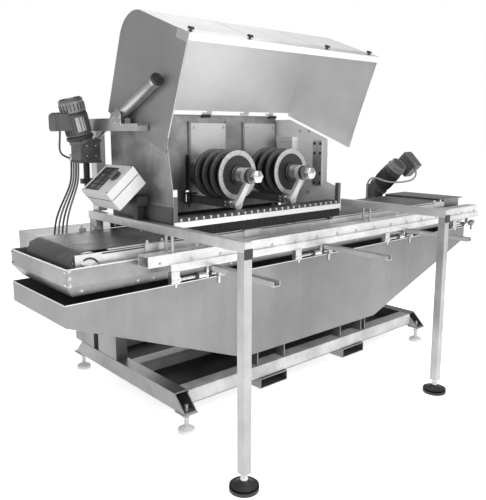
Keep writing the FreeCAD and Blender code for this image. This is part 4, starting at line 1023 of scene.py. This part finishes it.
def add_clamp_details():
    """What the four guide bars carry: nuts, collars and the ribbed hubs of the levers."""
    fittings, collars, hubs = bmesh.new(), bmesh.new(), []
    for i in range(4):
        right = FIRST_BAR_END + BAR_PITCH * i
        left = right - BAR_LENGTH
        for at in (10, 34):
            hex_bolt(fittings, (left + at, BAR_Y - 13, BAR_Z - 2), -Y, 4.5)
        hex_bolt(fittings, (right - 97, BAR_Y - 11, BAR_Z - 3), -Y, 4)
        turned(fittings, (left + 46, BAR_Y, BAR_Z), X, [(0, 8.4), (0, 12), (8, 12), (10, 8.4)], 6,
            ring=True)
        turned(fittings, (left + 152, BAR_Y, BAR_Z), X, [(0, 11), (0, 13), (56, 13), (56, 11)], 28,
            ring=True)
        turned(fittings, (left + 22, BAR_Y - 14, BAR_Z - 14), -Z, [(0, 7), (4, 7), (6, 4), (16, 4)], 12)
        for at in (136, 208):
            turned(collars, (left + at, BAR_Y, BAR_Z), X, [(0, 11), (0, 14), (2, 17), (14, 17), (16, 14),
                (16, 11)], 32, ring=True)
        hub, place = bmesh.new(), towards((right - 37, BAR_Y, BAR_Z), X)
        turned_at(hub, place, [(0, 17), (0, 19), (3, 20), (21, 20), (24, 19), (24, 17)], 32, ring=True)
        for turn in turns(12):
            box(hub, (19, -1.5, 3), (21.4, 1.5, 21), place @ turn)
        hubs.append(hub)
    finish("clamp_fittings", fittings, "bright_steel")
    finish("clamp_collars", collars, "black_nylon")
    for i, hub in enumerate(hubs, 1):
        finish("clamp_lever_%d_ring" % i, hub, "bolt", "clamp_lever_%d" % i)


add_tray_details()
add_rail_details()
add_belt_details()
add_clamp_details()


# ---- legs, arms, base, sump
LEG_XS, LEG_Y, ARM_Z = (-1108, 316), -792, 979


def add_leg_details():
    caps, bright, nuts = blanks(3)
    arm_front = span("cross_arms")[0].y
    for x in LEG_XS:
        plate(caps, rounded(40.6, 40.6, 3), 6, towards((x, arm_front + 3.5, ARM_Z), -Y))
        turned_at(bright, towards((x, LEG_Y, 118), -Z) @ Matrix.Rotation(math.pi / 4, 4, "Z"),
            [(0, 27.4), (4, 27.4), (34, 12), (44, 11)], 4)
        turned(bright, (x, LEG_Y, 60), -Z, [(0, 10), (4, 14), (14, 16), (20, 16), (22, 12)], 20)
        turned(nuts, (x, LEG_Y, 22), Z, [(0, 61), (0, 58), (6, 40), (14, 24), (22, 18), (22, 12)], 48)
        for y in (-520, -90, 150):
            hex_bolt(bright, (x - 20, y, ARM_Z), -X, 4)
    finish("arm_end_caps", caps, "black_nylon", bevel=1)
    finish("leg_foot_cones", bright, "bright_sheet", bevel=0.6)
    finish("leg_pad_domes", nuts, "black_nylon")


def add_base_details():
    nuts, domes, threads = blanks(3)
    for x in (-1005, 960):
        for y in (-255, 812):
            turned(domes, (x, y, 14), Z, [(0, 42.4), (6, 40), (12, 28), (18, 18), (20, 11)], 40)
            for z in (66, 84):
                turned(nuts, (x, y, z), Z, [(0, 13), (2, 16), (12, 16), (14, 13)], 6)
            for i in range(30):
                turned(threads, (x, y, 36 + 3.6 * i), Z, [(0, 9.8), (1, 10.9), (2, 10.9), (3, 9.8)], 20)
    finish("base_foot_nuts", nuts, "bolt")
    finish("base_pad_domes", domes, "white_coat")
    finish("spindle_threads", threads, "bolt")
    low, high = span("sump_side_plates")
    seam = bmesh.new()
    for y in (low.y - 1.4, high.y):
        box(seam, (low.x, y, high.z - 5), (high.x, y + 1.4, high.z))
    box(seam, (low.x - 1.2, low.y, high.z - 5), (low.x, high.y, high.z))
    finish("sump_top_hem", seam, "bright_sheet", bevel=0.5)


def add_rear_details():
    low, high = span("rear_cabinet")
    doors, louvres, handles = blanks(3)
    count, gap = 4, 8
    lying = Matrix(((0, 0, 1, 0), (1, 0, 0, 0), (0, 1, 0, 0), (0, 0, 0, 1)))
    wide = (high.x - low.x - gap * (count + 1)) / count
    for i in range(count):
        x = low.x + gap + (wide + gap) * i
        place = towards((x + wide / 2, high.y, (low.z + 889) / 2), Y)
        plate(doors, rounded(wide, 170, 4), 3, place)
        for k in range(6):
            z = 752 + 14 * k
            plate(louvres, [(0, 0), (5, 0), (0, 9)], 110,
                  moved(x + wide * 0.62, high.y + 3, z) @ lying)
        turned(handles, (x + 46, high.y + 3, 800), Y, [(0, 15), (4, 15), (6, 12), (10, 12), (11, 4)], 28)
        box(handles, (x + 43, high.y + 12, 788), (x + 49, high.y + 20, 826))
    finish("cabinet_doors", doors, "cabinet", bevel=1)
    finish("cabinet_louvres", louvres, "bright_sheet")
    finish("cabinet_handles", handles, "black_nylon", bevel=1)
    spots = [(x, 423.5, 883) for x in spread(-1200, 1500, 14)]
    bolts("rear_rail_bolts", spots, Y, 5.5)


add_leg_details()
add_base_details()
add_rear_details()


# ---- cables
def cable(name, diameter, route, look, replaces_node):
    curve = bpy.data.curves.new(name, "CURVE")
    curve.dimensions = "3D"
    curve.bevel_depth, curve.bevel_resolution = diameter / 2, 5
    curve.use_fill_caps = True
    spline = curve.splines.new("NURBS")
    spline.points.add(len(route) - 1)
    for point, place in zip(spline.points, route):
        point.co = (*place, 1)
    spline.order_u, spline.use_endpoint_u, spline.resolution_u = 3, True, 10
    obj = bpy.data.objects.new(name, curve)
    bpy.context.collection.objects.link(obj)
    curve.materials.append(M[look])
    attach(obj, "frame")
    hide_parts(replaces_node)
    return obj


def millimetres(*points):
    return [tuple(value / 1000 for value in point) for point in points]


cable("lift_cable", 0.010, millimetres(
    (-1322, 309, 1440), (-1321, 318, 1398), (-1309, 352, 1362), (-1286, 396, 1336),
    (-1254, 430, 1315), (-1214, 441, 1302)), "cable_dark", "lift_motor_cable")
FALL = [(0, 440, 1290), (0, 441, 1232), (0.07, 444, 1172), (0.36, 450, 1108),
        (0.70, 458, 1040), (0.94, 466, 968), (1, 468, 905)]
for i in range(4):
    clip_x, gland_x = -1208 + 13 * i, -1306 + 22 * i
    cable("cabinet_cable_%d" % (i + 1), 0.010, millimetres(*[
        (clip_x + (gland_x - clip_x) * share, y, z) for share, y, z in FALL]),
        "cable" if i % 2 else "cable_dark", "bundle_cable_%d" % (i + 1))
cable("drive_cable", 0.013, millimetres(
    (1400, 89.5, 1162.4), (1396, 77, 1128), (1384, 78, 1096), (1362, 93, 1074),
    (1330, 121, 1063), (1295, 156, 1057), (1260, 190, 1056), (1230, 228, 1062),
    (1209, 268, 1077), (1200, 310, 1089), (1202, 350, 1081), (1210, 380, 1052),
    (1218, 394, 1010), (1223, 398, 968), (1224, 398.2, 926)), "cable", "drive_motor_cable")
